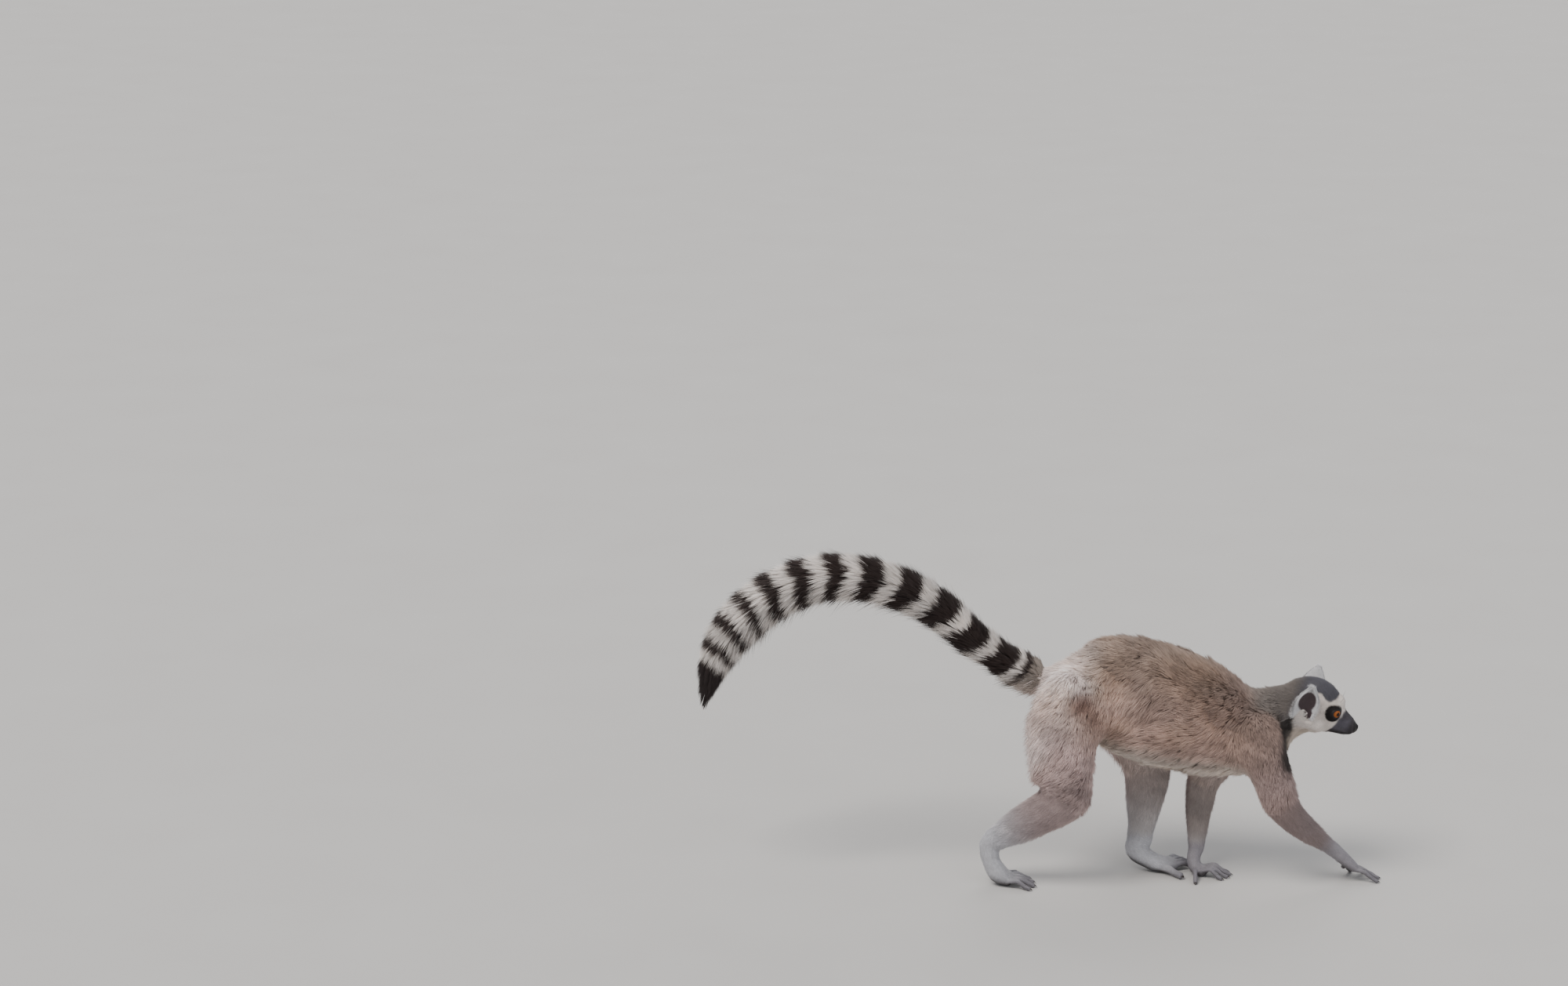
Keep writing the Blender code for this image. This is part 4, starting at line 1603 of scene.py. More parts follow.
@dataclass
class Skin:
    """One skin under the coat, from nose to tail, a shade darker than the hair over it."""

    outline: Outline
    markings: Markings
    face: Face
    triangles: int = 100000
    shade: float = 0.85

    def build(self) -> Object:
        """Lower the outline to the skin, thin it out, shape the face and colour it.

        Returns:
            The finished skin.
        """
        outline = self.outline
        lowered = outline.points + outline.inward
        skin = object_from("skin", lowered, outline.triangles)
        self.thin(skin)
        self.refine(skin)
        tree = tree_of(lowered)
        smooth = vertices_of(skin.data)
        source = np.array([tree.find(spot)[1] for spot in smooth.tolist()])
        points = self.face.shaped(smooth)
        move_vertices(skin.data, points)
        node = outline.node[source]
        over = points - outline.inward[source]
        colours = self.markings.colour(over, outline.normals[source], node)
        furred = ~in_zones(node, Zone.HEAD)
        colours[furred] = outline.colour[source[furred]] * self.shade
        paint(skin, self.bare_parts(points, colours))
        skin.vertex_groups.clear()
        dress(skin, HIDE.material())
        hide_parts(*FLESH)
        return skin

    def thin(self, skin: Object) -> None:
        """Take faces out of the skin, mostly away from face and paws.

        Args:
            skin: the skin, one face for each of the outline's.
        """
        outline = self.outline
        x = outline.bones.head.local(outline.points)[:, 0] / MM
        fine = in_zones(outline.node, *FINE)
        free = skin.vertex_groups.new(name="free")
        # Of the fine zones, only the back of the head is thinned like the rest.
        rows = np.flatnonzero(~fine | ((x < -14) & (x > -80)))
        free.add(rows.tolist(), 1.0, "REPLACE")
        ratio = self.triangles / len(outline.triangles)
        apply_modifier(skin, "DECIMATE", ratio=ratio, vertex_group="free", vertex_group_factor=6.0)
        LOG.info("skin: %d of %d faces kept", len(skin.data.polygons), len(outline.triangles))

    @staticmethod
    def is_front(place: Array) -> Array:
        """Which places lie on the front of the face."""
        x, y, z = place.T
        return (x > 27) & (np.abs(z - 4) < 22) & (np.abs(y) < 34)

    def is_eye_or_nose(self, place: Array) -> Array:
        """Which places lie around the eyes or on the nose.

        Args:
            place: places in the head's frame, in millimetres.

        Returns:
            True or false for each.
        """
        wanted = place[:, 0] > 59
        for side in (-1, 1):
            gap = sizes_of(place - self.face.head.EYE * (1, side, 1) / MM)
            wanted |= (gap < 13.5) & (place[:, 0] > 30)
        return wanted

    def refine(self, skin: Object) -> None:
        """Split the faces of eyes, nose and mouth finer.

        Args:
            skin: the thinned skin.
        """
        for chosen in (self.is_front, self.is_eye_or_nose):
            only(skin)
            bm = bmesh.new()
            bm.from_mesh(skin.data)
            rows = np.array([vertex.co for vertex in bm.verts])
            near = chosen(self.face.head.local(rows) / MM).tolist()
            bm.verts.index_update()
            edges = [e for e in bm.edges if near[e.verts[0].index] and near[e.verts[1].index]]
            bmesh.ops.subdivide_edges(bm, edges=edges, cuts=1, use_grid_fill=True, smooth=0.0)
            bmesh.ops.triangulate(bm, faces=bm.faces)
            bm.to_mesh(skin.data)
            bm.free()
        skin.data.shade_smooth()

    def bare_parts(self, points: Array, colours: Array) -> Array:
        """Darken the bare lids, lips and nostrils.

        Args:
            points: places on the skin.
            colours: their colours.

        Returns:
            The darkened colours.
        """
        place = self.face.head.local(points) / MM
        for side in (-1, 1):
            ratio, _, _ = self.face.lid_distance(place, side)
            colours = blend(colours, Markings.NOSE, ramp(ratio, 1.55, 1.30) * (place[:, 0] > 10))
        line = self.face.mouth_line(place[:, 0])
        mouth = np.exp(-(((place[:, 2] - line) / 0.8) ** 2)) * ramp(place[:, 0], 34, 38)
        return blend(colours, Markings.NOSE, np.clip(mouth, 0, 1) * (np.abs(place[:, 1]) < 30))


# ---- eyes, claws and whiskers


@dataclass
class Eye:
    """One eyeball with its clear bulge over the iris."""

    head: HeadFrame
    side: int
    radius: float = 8.5 * MM
    bulge: float = 0.75 * MM
    bulge_angle: float = 0.72

    def build(self) -> Object:
        """Model the eyeball and store where each point lies on it about the gaze.

        Returns:
            The finished eyeball.
        """
        word = "left" if self.side > 0 else "right"
        look, along, over = (way @ self.head.axes for way in self.head.gaze(self.side))
        middle = self.head.eyes[self.side]
        bpy.ops.object.select_all(action="DESELECT")
        bpy.ops.mesh.primitive_uv_sphere_add(segments=64, ring_count=48, radius=self.radius)
        ball = bpy.context.object
        ball.name = ball.data.name = f"eyeball_{word}"
        rows = vertices_of(ball.data)
        angle = np.arccos(np.clip(rows[:, 2] / self.radius, -1, 1))
        rows *= (1 + self.bulge / self.radius * ramp(angle, self.bulge_angle, 0.0))[:, None]
        turn = np.arctan2(rows[:, 1], rows[:, 0])
        rows = middle + rows @ np.array((along, over, look))
        move_vertices(ball.data, rows)
        only(ball)
        edit_whole(bpy.ops.mesh.normals_make_consistent, inside=False)
        bpy.ops.object.shade_smooth()
        place = ball.data.attributes.new(IRIS_PLACE, "FLOAT_VECTOR", "POINT")
        values = np.stack((np.cos(turn), np.sin(turn), angle), -1).astype(np.float32)
        place.data.foreach_set("vector", values.ravel())
        dress(ball, WetEye().material())
        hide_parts(f"eye_{word}")
        return ball


@dataclass(frozen=True)
class PawPlan:
    """Where the digits of one paw spread from, in metres and degrees."""

    side: int
    knuckle: tuple[float, float, float]
    heading: float
    spread: float
    row_width: float
    digits: tuple[float, float, float, float]
    radius: float
    # How far back the thumb starts, its angle, length and radius.
    thumb: tuple[float, float, float, float]

    def tips(self) -> list[tuple[Array, float, float]]:
        """The middle of each digit's end, its heading and its radius.

        Returns:
            The three for each digit.
        """
        ahead = math.radians(self.heading)
        across = np.array((-math.sin(ahead), math.cos(ahead), 0)) * self.side
        knuckle = np.array(self.knuckle)
        found = []
        for i, length in enumerate(self.digits):
            angle = ahead + math.radians(self.spread) * (i - 1.5) * self.side
            root = knuckle + across * self.row_width * (i / 3 - 0.5)
            found.append((root + self.way(angle) * length, angle, self.radius))
        back, turn, length, radius = self.thumb
        root = knuckle - self.way(ahead) * back - across * self.row_width * 0.42
        angle = ahead + math.radians(turn)
        return [*found, (root + self.way(angle) * length, angle, radius)]

    @staticmethod
    def way(angle: float) -> Array:
        """The level direction at an angle."""
        return np.array((math.cos(angle), math.sin(angle), 0))


HAND = (0.0220, 0.0285, 0.0310, 0.0270), 0.0032
FOOT = (0.0240, 0.0280, 0.0300, 0.0260), 0.0036
PAWS = (
    PawPlan(-1, (-0.0366, -0.0353, 0), -5, 11, 0.023, *FOOT, (0.013, 56, 0.032, 0.0045)),
    PawPlan(1, (0.1674, 0.0297, 0), 26, 6, 0.024, *FOOT, (0.022, -69, 0.032, 0.0052)),
    PawPlan(-1, (0.3874, -0.0073, 0), 12, 14, 0.018, *HAND, (0.009, 50, 0.023, 0.0033)),
    PawPlan(1, (0.2059, 0.0022, 0), -10, 8, 0.018, *HAND, (0.011, -84, 0.026, 0.0034)),
)


@dataclass
class Claws:
    """A dark curved nail over the end of every digit.

    Half its width, its height and how far ahead it sits are in radii of the digit.
    """

    length: float = 4.4 * MM
    thickness: float = 0.8 * MM
    pitch: float = math.radians(24)
    width: float = 0.50
    height: float = 1.22
    ahead: float = 0.72

    COLOUR = tone(52, 44, 42)

    def nail(self) -> tuple[Array, Array]:
        """One nail at the origin: a domed plate that narrows and hooks down at its end.

        Returns:
            Its vertices and its triangles.
        """
        bpy.ops.object.select_all(action="DESELECT")
        bpy.ops.mesh.primitive_uv_sphere_add(segments=14, ring_count=9, radius=1.0)
        ball = bpy.context.object
        rows, faces = vertices_of(ball.data), triangles_of(ball.data)
        bpy.data.objects.remove(ball)
        x, y, z = rows.T
        along = (x + 1) / 2
        wide = y * (1 - 0.45 * along**2)
        arched = z * 0.5 - 0.35 * wide**2
        hooked = arched - 0.9 * along**2.2
        return np.stack((x, wide, hooked), -1), faces

    def build(self) -> Object:
        """Copy the nail to every digit.

        Returns:
            All the nails, as one piece.
        """
        shape, faces = self.nail()
        rows, threes = [], []
        for plan in PAWS:
            for tip, angle, radius in plan.tips():
                sized = shape * (self.length / 2, radius * self.width, self.thickness)
                heading, pitch = Matrix.Rotation(angle, 3, "Z"), Matrix.Rotation(self.pitch, 3, "Y")
                turn = np.array(heading @ pitch)
                place = np.array((tip[0], tip[1], radius * self.height))
                place = place + turn @ np.array((radius * self.ahead, 0, 0))
                threes.append(faces + len(shape) * len(rows))
                rows.append(sized @ turn.T + place)
        points = np.vstack(rows)
        claws = object_from("claws", points, np.vstack(threes))
        paint(claws, plain(self.COLOUR, points))
        dress(claws, HORN.material())
        return claws


@dataclass
class Whiskers:
    """Long thin bristles on the muzzle and over the eyes, as three-sided needles."""

    head: HeadFrame
    outline: Outline
    per_side: int = 11
    brow_bristles: int = 3
    row: int = 4
    length: float = 22 * MM
    radius: float = 0.11 * MM
    rooted: float = 1.2
    rings: int = 5
    seed: int = 5

    COLOUR = tone(36, 30, 30)

    def bristle(self, start: Array, way: Array, length: float) -> list[Array]:
        """The vertices of one bristle: rings from root to tip, and the tip.

        Args:
            start: its root.
            way: the way it leaves the skin.
            length: its length.

        Returns:
            The rings' corners in order, then the tip.
        """
        sag = np.array((0, 0, -0.25)) - self.head.axes[0] * 0.35
        across = unit(np.cross(way, (0.1, 0.2, 1.0)))
        over = np.cross(way, across)
        rows = []
        for k in range(self.rings):
            t = k / self.rings
            centre = start + way * length * t + sag * length * t * t * 0.5
            size = self.radius * (1 - t)
            for a in (0, 2.094, 4.189):
                rows.append(centre + size * (across * math.cos(a) + over * math.sin(a)))
        return [*rows, start + way * length + sag * length * 0.5]

    def needle(self) -> list[tuple[int, int, int]]:
        """The triangles of one bristle: its sides, its point and its root.

        Returns:
            Threes of the bristle's vertices.
        """
        threes, last = [], 3 * self.rings - 3
        for k in range(0, last, 3):
            for i in range(3):
                j = (i + 1) % 3
                a, b, c, d = k + i, k + j, k + 3 + j, k + 3 + i
                threes += [(a, b, c), (a, c, d)]
        threes += [(last + i, last + (i + 1) % 3, last + 3) for i in range(3)]
        return [*threes, (2, 1, 0)]

    def build(self) -> Object:
        """Set the bristles in the skin of the muzzle and bend them back.

        Returns:
            All the bristles, as one piece.
        """
        rng = np.random.default_rng(self.seed)
        rows = []
        for side in (-1, 1):
            for i in range(self.per_side):
                brow = i >= self.per_side - self.brow_bristles
                if brow:
                    spot = np.array((35 + i * 0.4, side * rng.uniform(9, 15), 26.0))
                    way = np.array((0.25, side * 0.5, 0.9))
                else:
                    down, along = divmod(i, self.row)
                    spot = np.array((46 + 2.0 * along + 3 * down, side * 12, -2.5 - 3.2 * down))
                    way = np.array((rng.uniform(-0.2, 0.35), side * 1.0, rng.uniform(-0.45, 0.15)))
                near, normal, _, _ = self.outline.tree.find_nearest(self.head.world(spot * MM))
                start = np.array(near) - np.array(normal) * self.rooted * MM
                length = self.length * rng.uniform(0.6, 1.0) * (0.7 if brow else 1)
                rows.append(self.bristle(start, unit(way @ self.head.axes), length))
        points = np.array(rows)
        pattern = np.array(self.needle())
        faces = pattern + np.arange(len(rows))[:, None, None] * points.shape[1]
        points = points.reshape(-1, 3)
        faces = outward(points, faces.reshape(-1, 3), len(pattern))
        made = object_from("whiskers", points, faces)
        paint(made, plain(self.COLOUR, points))
        dress(made, HAIR.material())
        return made


# ---- coat


def outward(points: Array, faces: Array, per_piece: int) -> Array:
    """Faces turned over if the first closed shape's volume is negative.

    Args:
        points: vertices of many like closed shapes.
        faces: their triangles.
        per_piece: how many triangles one shape has.

    Returns:
        The triangles, facing outwards.
    """
    first = points[faces[:per_piece]]
    volume = np.einsum("ij,ij->i", first[:, 0], np.cross(first[:, 1], first[:, 2])).sum()
    return faces if volume > 0 else faces[:, ::-1]


@dataclass
class Tufts:
    """Many tufts of hair, each from a root through a middle to a tip."""

    root: Array
    middle: Array
    tip: Array
    over: Array
    width: Array
    colours: tuple[Array, Array, Array]
    place: Array
    bent: bool

    MAP_SIZE = 3.0e-3
    FLATNESS = 0.7
    CORNERS = ((-30, -0.2), (90, 0.2), (210, -0.2))

    def rings(self) -> tuple[Array, Array, Array, Array]:
        """Vertices, colours, map places and the one pattern of faces of all tufts.

        Returns:
            These four, the faces last.
        """
        way = unit(self.tip - self.root)
        side = unit(np.cross(way, self.over))
        up = np.cross(side, way)
        half = self.MAP_SIZE / 2
        size = (self.width / 2)[:, None]
        ring, level = (self.middle, self.colours[1]) if self.bent else (self.root, self.colours[0])
        rows, tints, places = [], [], []
        for k, (degrees, rise) in enumerate(self.CORNERS):
            c, s = math.cos(math.radians(degrees)), math.sin(math.radians(degrees))
            rows.append(ring + side * size * c + up * size * s * self.FLATNESS)
            tints.append(level)
            places.append(self.place + ((k - 1) * half, rise * half))
        rows.append(self.tip)
        tints.append(self.colours[2])
        places.append(self.place + (0.0, half))
        faces = [(0, 1, 3), (1, 2, 3), (2, 0, 3)]
        if self.bent:
            rows.append(self.root)
            tints.append(self.colours[0])
            places.append(self.place + (0.0, -half))
            faces += [(1, 0, 4), (2, 1, 4), (0, 2, 4)]
        else:
            faces.append((2, 1, 0))
        return np.stack(rows, 1), np.stack(tints, 1), np.stack(places, 1), np.array(faces)

    def arrays(self) -> tuple[Array, Array, Array, Array, Array]:
        """Vertices, colours, map places, ways out of the body and faces of all tufts.

        Returns:
            These five, in this order.
        """
        rows, tints, places, pattern = self.rings()
        count, per = rows.shape[:2]
        faces = (pattern[None] + np.arange(count)[:, None, None] * per).reshape(-1, 3)
        faces = outward(rows.reshape(-1, 3), faces, len(pattern))
        ways = np.repeat(self.over, per, 0)
        return rows.reshape(-1, 3), tints.reshape(-1, 3), places.reshape(-1, 2), ways, faces


class Bed:
    """The places on one node where hair grows, and how each tuft lies there."""

    STRAY = 0.18
    LENGTHS = (0.70, 1.12)
    WIDTHS = (0.75, 1.25)
    ROOT_DEPTH = 0.5 * MM
    # How much locks differ in brightness.
    LOCKS = dict.fromkeys(Zone, 0.05) | {Zone.TRUNK: 0.10} | dict.fromkeys(
        (Zone.THIGH, Zone.NECK, Zone.ARM), 0.09)
    # The chance that a tuft stands free of the coat: by zone for short hair, else by length.
    LOOSE = {Zone.HEAD: 0.08, Zone.EAR: 0.35}
    LOOSE_SHORT = 7.5 * MM
    LOOSE_BY_LENGTH = ((3 * MM, 6 * MM, 11 * MM, 16 * MM), (0.05, 0.16, 0.28, 0.34))
    # Where along a tuft its middle and its tip lie.
    MIDDLE, TIP = 0.45, 1.0
    # The chance and most length of a plume, and how far tail hair passes the tail's end.
    PLUMES, PLUME, PAST_END = 0.16, 0.28, 9 * MM
    # Shares of the colour at root, middle and tip.
    SHADES = {Zone.TAIL: (0.72, 1.0, 1.06)}
    LONG_SHADES, SHORT_SHADES = (0.74, 0.97, 1.10), (0.80, 0.95, 1.08)

    def __init__(self, name: str, outline: Outline, face: Face, share: float, rng: Random) -> None:
        """Scatter places over the node and keep those that carry hair.

        Args:
            name: the node.
            outline: the animal's outline.
            face: the folds of the face.
            share: how many of the tufts are made.
            rng: where all chance comes from.
        """
        self.name, self.zone = name, ZONE_OF[name]
        self.style = STYLES[self.zone]
        self.outline, self.face, self.rng = outline, face, rng
        mine = np.flatnonzero(outline.node[outline.triangles[:, 0]] == FLESH.index(name))
        expected = outline.area[mine] * self.style.density * share
        count = np.floor(expected + rng.random(len(mine))).astype(int)
        self.corners = outline.triangles[np.repeat(mine, count)]
        a, b = rng.random((2, len(self.corners)))
        over = a + b > 1
        a, b = np.where(over, 1 - a, a), np.where(over, 1 - b, b)
        self.weights = np.stack((1 - a - b, a, b), -1)[..., None]
        self.read_places()
        keep = self.hairy()
        self.corners, self.weights = self.corners[keep], self.weights[keep]
        self.read_places()
        self.inward = self.field(outline.inward)
        self.depth = sizes_of(self.inward)
        self.growth = self.field(outline.growth)
        self.length = self.growth[:, 0] * self.stretch() * rng.uniform(*self.LENGTHS, self.count)
        self.flow = self.combed()

    def field(self, values: Array) -> Array:
        """Values of the outline's vertices, read at each place."""
        return (values[self.corners] * self.weights).sum(1)

    def read_places(self) -> None:
        """Work out where each place is and the way out there."""
        self.spot = self.field(self.outline.points)
        self.normal = unit(self.field(self.outline.normals))
        self.local = self.outline.bones.head.local(self.spot) / MM
        self.count = len(self.spot)

    def hairy(self) -> Array:
        """Which places carry hair: not the lids, nose, lips, pads or the ears' bowls.

        Returns:
            True or false for each place.
        """
        keep = np.ones(self.count, bool)
        if self.zone is Zone.HEAD:
            x, _, z = self.local.T
            face = self.face
            for side in (-1, 1):
                keep &= face.lid_distance(self.local, side)[0] > face.hair_from_lids
            keep &= x + 0.25 * z < face.nose_from
            keep &= (np.abs(z - face.mouth_line(x)) > face.bare_lip) | (x < face.mouth_from)
        elif self.zone is Zone.PAW:
            height = self.spot[:, 2]
            keep &= ~((self.normal[:, 2] < -0.35) & (height < 0.026)) & (height > 1.6 * MM)
        elif self.zone is Zone.EAR:
            inside = self.face.head.into_bowl(self.local, self.normal) > 0.2
            bare = HeadFrame.bowl_reach(self.local) < 0.95
            keep &= ~(inside & bare & (self.rng.random(self.count) < 0.85))
        return keep

    def stretch(self) -> Array:
        """How much longer or shorter than its zone's hair each tuft is.

        Returns:
            A factor for each tuft.
        """
        x, _, z = self.local.T
        if self.zone is Zone.HEAD:
            cheek = ramp(x, 18, 2) * ramp(z, 4, -14)
            return 1 - 0.62 * ramp(x, 30, 44) + 0.7 * cheek
        if self.zone is Zone.EAR:
            return 1 + self.rim() * (0.25 * ramp(x, 10, -4) + 0.5 * ramp(z, 22, 32))
        if self.zone is Zone.PAW:
            return np.where(self.spot[:, 2] < 9 * MM, 0.62, 1.0)
        if self.zone is Zone.TRUNK:
            under = 1 - 0.25 * ramp(self.normal[:, 2], -0.3, -0.8)
            return under * (1 + 0.6 * self.near_tail())
        if self.zone is Zone.THIGH:
            return 1 + 0.5 * ramp(self.normal[:, 0], -0.2, -0.8)
        return np.ones(self.count)

    def combed(self) -> Array:
        """The way each tuft points along the surface, swirled and strayed a little.

        Returns:
            A unit direction for each tuft.
        """
        flow = flatten(self.field(self.outline.flow), self.normal)
        swirl = wander(self.spot, 0.028, 3) + 0.7 * wander(self.spot, 0.011, 4)
        swirl = self.style.ruffle * swirl + self.rng.normal(0, self.STRAY, self.count)
        across = np.cross(self.normal, flow)
        return flow * np.cos(swirl)[:, None] + across * np.sin(swirl)[:, None]

    def near_tail(self) -> Array:
        """How near the root of the tail each place is, from 0 to 1."""
        start = self.outline.bones.tail.at(np.zeros(1))[0]
        return ramp(sizes_of(self.spot - start), 0.048, 0.022)

    def rim(self) -> Array:
        """How near the ear's rim each place is, from 0 to 1."""
        x, _, z = self.local.T
        return ramp(np.hypot((x + 2) / 13, (z - 20) / 20), 0.75, 1.05)

    def lift(self) -> tuple[Array, Array]:
        """How high each tuft's tip stands over the outline, and which tufts stand free.

        Returns:
            Heights in metres, and true or false for each tuft.
        """
        rng, normal = self.rng, self.normal
        thick = np.clip(self.depth / (6 * MM), 0.12, 1.1) * MM
        lift = rng.normal(0.1, 0.7, self.count) * thick
        fine, broad = wander(self.spot, 0.011, 21), wander(self.spot, 0.024, 22)
        lift += thick * 1.5 * fine + thick * 1.5 * broad
        chance = np.interp(self.length, *self.LOOSE_BY_LENGTH)
        if self.zone in self.LOOSE:
            chance = np.where(self.length > self.LOOSE_SHORT, chance, self.LOOSE[self.zone])
        loose = rng.random(self.count) < chance
        fringe = ramp(normal[:, 0], -0.1, -0.7) if self.zone is Zone.THIGH else 0
        lift += loose * rng.uniform(0.4, 3.4, self.count) * thick * (1 + 2.0 * fringe)
        return lift, loose

    def laid(self) -> tuple[Array, Array]:
        """Middles and tips of tufts that lie along the body, near its outline.

        Returns:
            Two places for each tuft.
        """
        lift, loose = self.lift()
        free = 0.5 * loose
        if self.zone is Zone.TRUNK:
            free = np.maximum(free, 0.8 * self.near_tail())
        if self.zone is Zone.EAR:
            free = 0.15 + 0.8 * self.rim()
        find = self.outline.tree.find_nearest
        ends = []
        sunk = -0.34 * self.depth + 0.4 * lift
        for share, rise in ((self.MIDDLE, sunk), (self.TIP, lift)):
            aim = self.spot + self.flow * (self.length * share)[:, None]
            found = [find(point) for point in aim.tolist()]
            on, out = (np.array([tuple(hit[k]) for hit in found]) for k in (0, 1))
            raised = aim + self.normal * rise[:, None]
            ends.append(blend(on + out * rise[:, None], raised, free * share))
        return ends[0], ends[1]

    def flared(self) -> tuple[Array, Array, Array]:
        """Middles and tips of tail hair that flares from the core, and where each tuft shows.

        Returns:
            Two places and a length along the tail for each tuft.
        """
        rng, outline, line = self.rng, self.outline, self.outline.bones.tail
        place, centre, _ = line.nearest(self.spot)
        start, core = outline.core_place(place), outline.core_radius(place)
        out = unit(self.spot - centre)
        up = out[:, 2]
        length = self.length * (0.42 + 0.30 * ramp(place, 0.0, 0.10))
        length = length * (1 + 0.50 * ramp(place, 0.28, 0.48))
        sweep = 1 + 0.6 * ramp(up, 0.3, -0.9) + 0.2 * ramp(up, 0.5, 1.0)
        end = np.minimum(start + length * 0.93 * sweep, line.length + self.PAST_END)
        outer = outline.tail_radius(np.minimum(end, line.length))
        reach = core + (outer - core) * rng.uniform(0.66, 1.10, self.count)
        plume = (rng.random(self.count) < self.PLUMES) * rng.uniform(0.0, self.PLUME, self.count)
        reach = reach * (1 + plume * (1 + 0.8 * ramp(up, 0.0, -0.8)))
        reach = np.where(end > line.length, reach * 0.8, reach)
        reach = reach * (1 + ramp(place, 0.055, 0.015) * (0.16 + 0.26 * ramp(up, 0.1, -0.6)))
        ends = []
        for share, rise in ((self.MIDDLE, 0.52), (self.TIP, 1.0)):
            on, way = line.at(start + (end - start) * share)
            ends.append(on + flatten(out, way) * (core + (reach - core) * rise)[:, None])
        shown = start + length * 0.52
        return ends[0], ends[1], shown + rng.normal(0, 0.7 * MM, self.count)

    def gathered(self, middle: Array, tip: Array) -> tuple[Array, Array, Array, Array]:
        """Draw the tufts together into locks.

        Args:
            middle: each tuft's middle.
            tip: each tuft's tip.

        Returns:
            Middles, tips, how bright each tuft's lock is, and the tuft that guides it.
        """
        rng, style, spot = self.rng, self.style, self.spot
        count = max(8, int(self.count / (style.density * style.lock**2)))
        guides = rng.choice(self.count, min(count, self.count), replace=False)
        tree = tree_of(spot[guides])
        found = [tree.find(point) for point in spot.tolist()]
        guide = guides[np.array([hit[1] for hit in found])]
        gap = np.array([hit[2] for hit in found])
        pull = style.gather * ramp(gap, style.lock * 2.2, style.lock * 0.9)
        pull = np.clip(pull * rng.uniform(0.6, 1.2, self.count), 0, 0.9)
        shift = tip[guide] - spot[guide] - (tip - spot)
        drawn = spot[guide] - spot
        tip = tip + (shift * 0.7 + drawn) * pull[:, None]
        middle = middle + (shift * 0.3 + drawn) * (pull * 0.45)[:, None]
        stand = np.clip(rng.normal(0, 1, self.count), -0.8, 1.9)[guide]
        stand = stand * np.minimum(self.depth, 9 * MM)
        stand = self.normal * (stand * 0.17 * ramp(pull, 0, 0.2))[:, None]
        lock = np.clip(rng.normal(0, 1, self.count), -1.6, 1.6)[guide]
        return middle + stand * 0.4, tip + stand, lock, guide

    def tinted(self, colour: Array, tone_spread: float) -> tuple[Array, Array, Array]:
        """Give each tuft a little its own colour.

        Args:
            colour: the coat's colour at each tuft.
            tone_spread: how much single tufts differ in brightness.

        Returns:
            Colours at root, middle and tip.
        """
        spot = self.spot
        each = 1 + tone_spread * np.clip(self.rng.normal(0, 0.6, (self.count, 1)), -1.5, 1.5)
        shaggy = 1.6 if self.zone in (Zone.TRUNK, Zone.THIGH) else 1.0
        broad = 1 + shaggy * (0.10 * wander(spot, 0.02, 8) + 0.06 * wander(spot, 0.007, 9))[:, None]
        base = colour * each * broad
        if self.zone in LONG_HAIRED:
            warm = np.array((1.05, 1.0, 0.94)) ** np.abs(wander(spot, 0.03, 12))[:, None]
            root, middle, tip = self.LONG_SHADES
            return base * root, base * warm * middle, base * tip
        root, middle, tip = self.SHADES.get(self.zone, self.SHORT_SHADES)
        return base * root, base * middle, base * tip

    def tufts(self, markings: Markings, tone_spread: float, strip: int, strips: int) -> Tufts:
        """Grow the tufts.

        Args:
            markings: the animal's colours.
            tone_spread: how much single tufts differ in brightness.
            strip: which strip of the piece's map the node takes.
            strips: how many strips the map has.

        Returns:
            The tufts of this node.
        """
        spot = self.spot
        sunk = 1 + self.ROOT_DEPTH / np.maximum(self.depth, MM)
        root = spot + self.inward * sunk[:, None]
        shown = None
        if self.zone is Zone.TAIL:
            middle, tip, shown = self.flared()
            root = root + (self.rng.random((self.count, 1)) - 0.5) * 2 * MM * self.flow
        else:
            root = self.face.shaped(root) if self.zone is Zone.HEAD else root
            middle, tip = self.laid()
        middle, tip, lock, guide = self.gathered(middle, tip)
        if self.zone in (Zone.HEAD, Zone.EAR, Zone.TAIL):
            seen = spot * 0.5 + tip * 0.5
            if shown is not None:
                seen, shown = spot, shown * 0.8 + shown[guide] * 0.2
            node = np.full(self.count, FLESH.index(self.name))
            colour = markings.colour(seen, self.normal, node, shown)
        else:
            colour = self.field(self.outline.colour)
        colour = colour * (1 + self.LOCKS[self.zone] * lock)[:, None]
        colours = self.tinted(colour, tone_spread)
        turn, along = self.outline.bones.of_node[self.name].unrolled(spot).T
        place = np.stack(((strip + 0.03 + 0.94 * turn) / strips, 0.01 + 0.98 * along), -1)
        width = self.growth[:, 1] * self.rng.uniform(*self.WIDTHS, self.count)
        return Tufts(root, middle, tip, self.normal, width, colours, place, self.style.bent)


@dataclass
class CoatPiece:
    """The coat over some nodes, as one joined mesh."""

    name: str
    nodes: tuple[str, ...]
    slot: str
    seed: int
    tone_spread: float = 0.20

    def build(self, outline: Outline, markings: Markings, face: Face, share: float) -> Object:
        """Grow tufts on the nodes, lay them along the body and join them.

        Args:
            outline: the animal's outline.
            markings: its colours.
            face: the folds of the face.
            share: how many of the tufts are made.

        Returns:
            The finished piece.
        """
        rng = np.random.default_rng(self.seed)
        columns, start = [], 0
        for strip, node in enumerate(self.nodes):
            bed = Bed(node, outline, face, share, rng)
            *rows, faces = bed.tufts(markings, self.tone_spread, strip, len(self.nodes)).arrays()
            columns.append((*rows, faces + start))
            start += len(rows[0])
        points, tints, places, ways, faces = (np.vstack(column) for column in zip(*columns))
        made = object_from(self.name, points, faces)
        paint(made, np.clip(tints, 0, 1))
        soften(made, faces, ways)
        layer = made.data.uv_layers.new(name="OFBake")
        layer.data.foreach_set("uv", places[faces.ravel()].astype(np.float32).ravel())
        dress(made, HAIR.material())
        return made


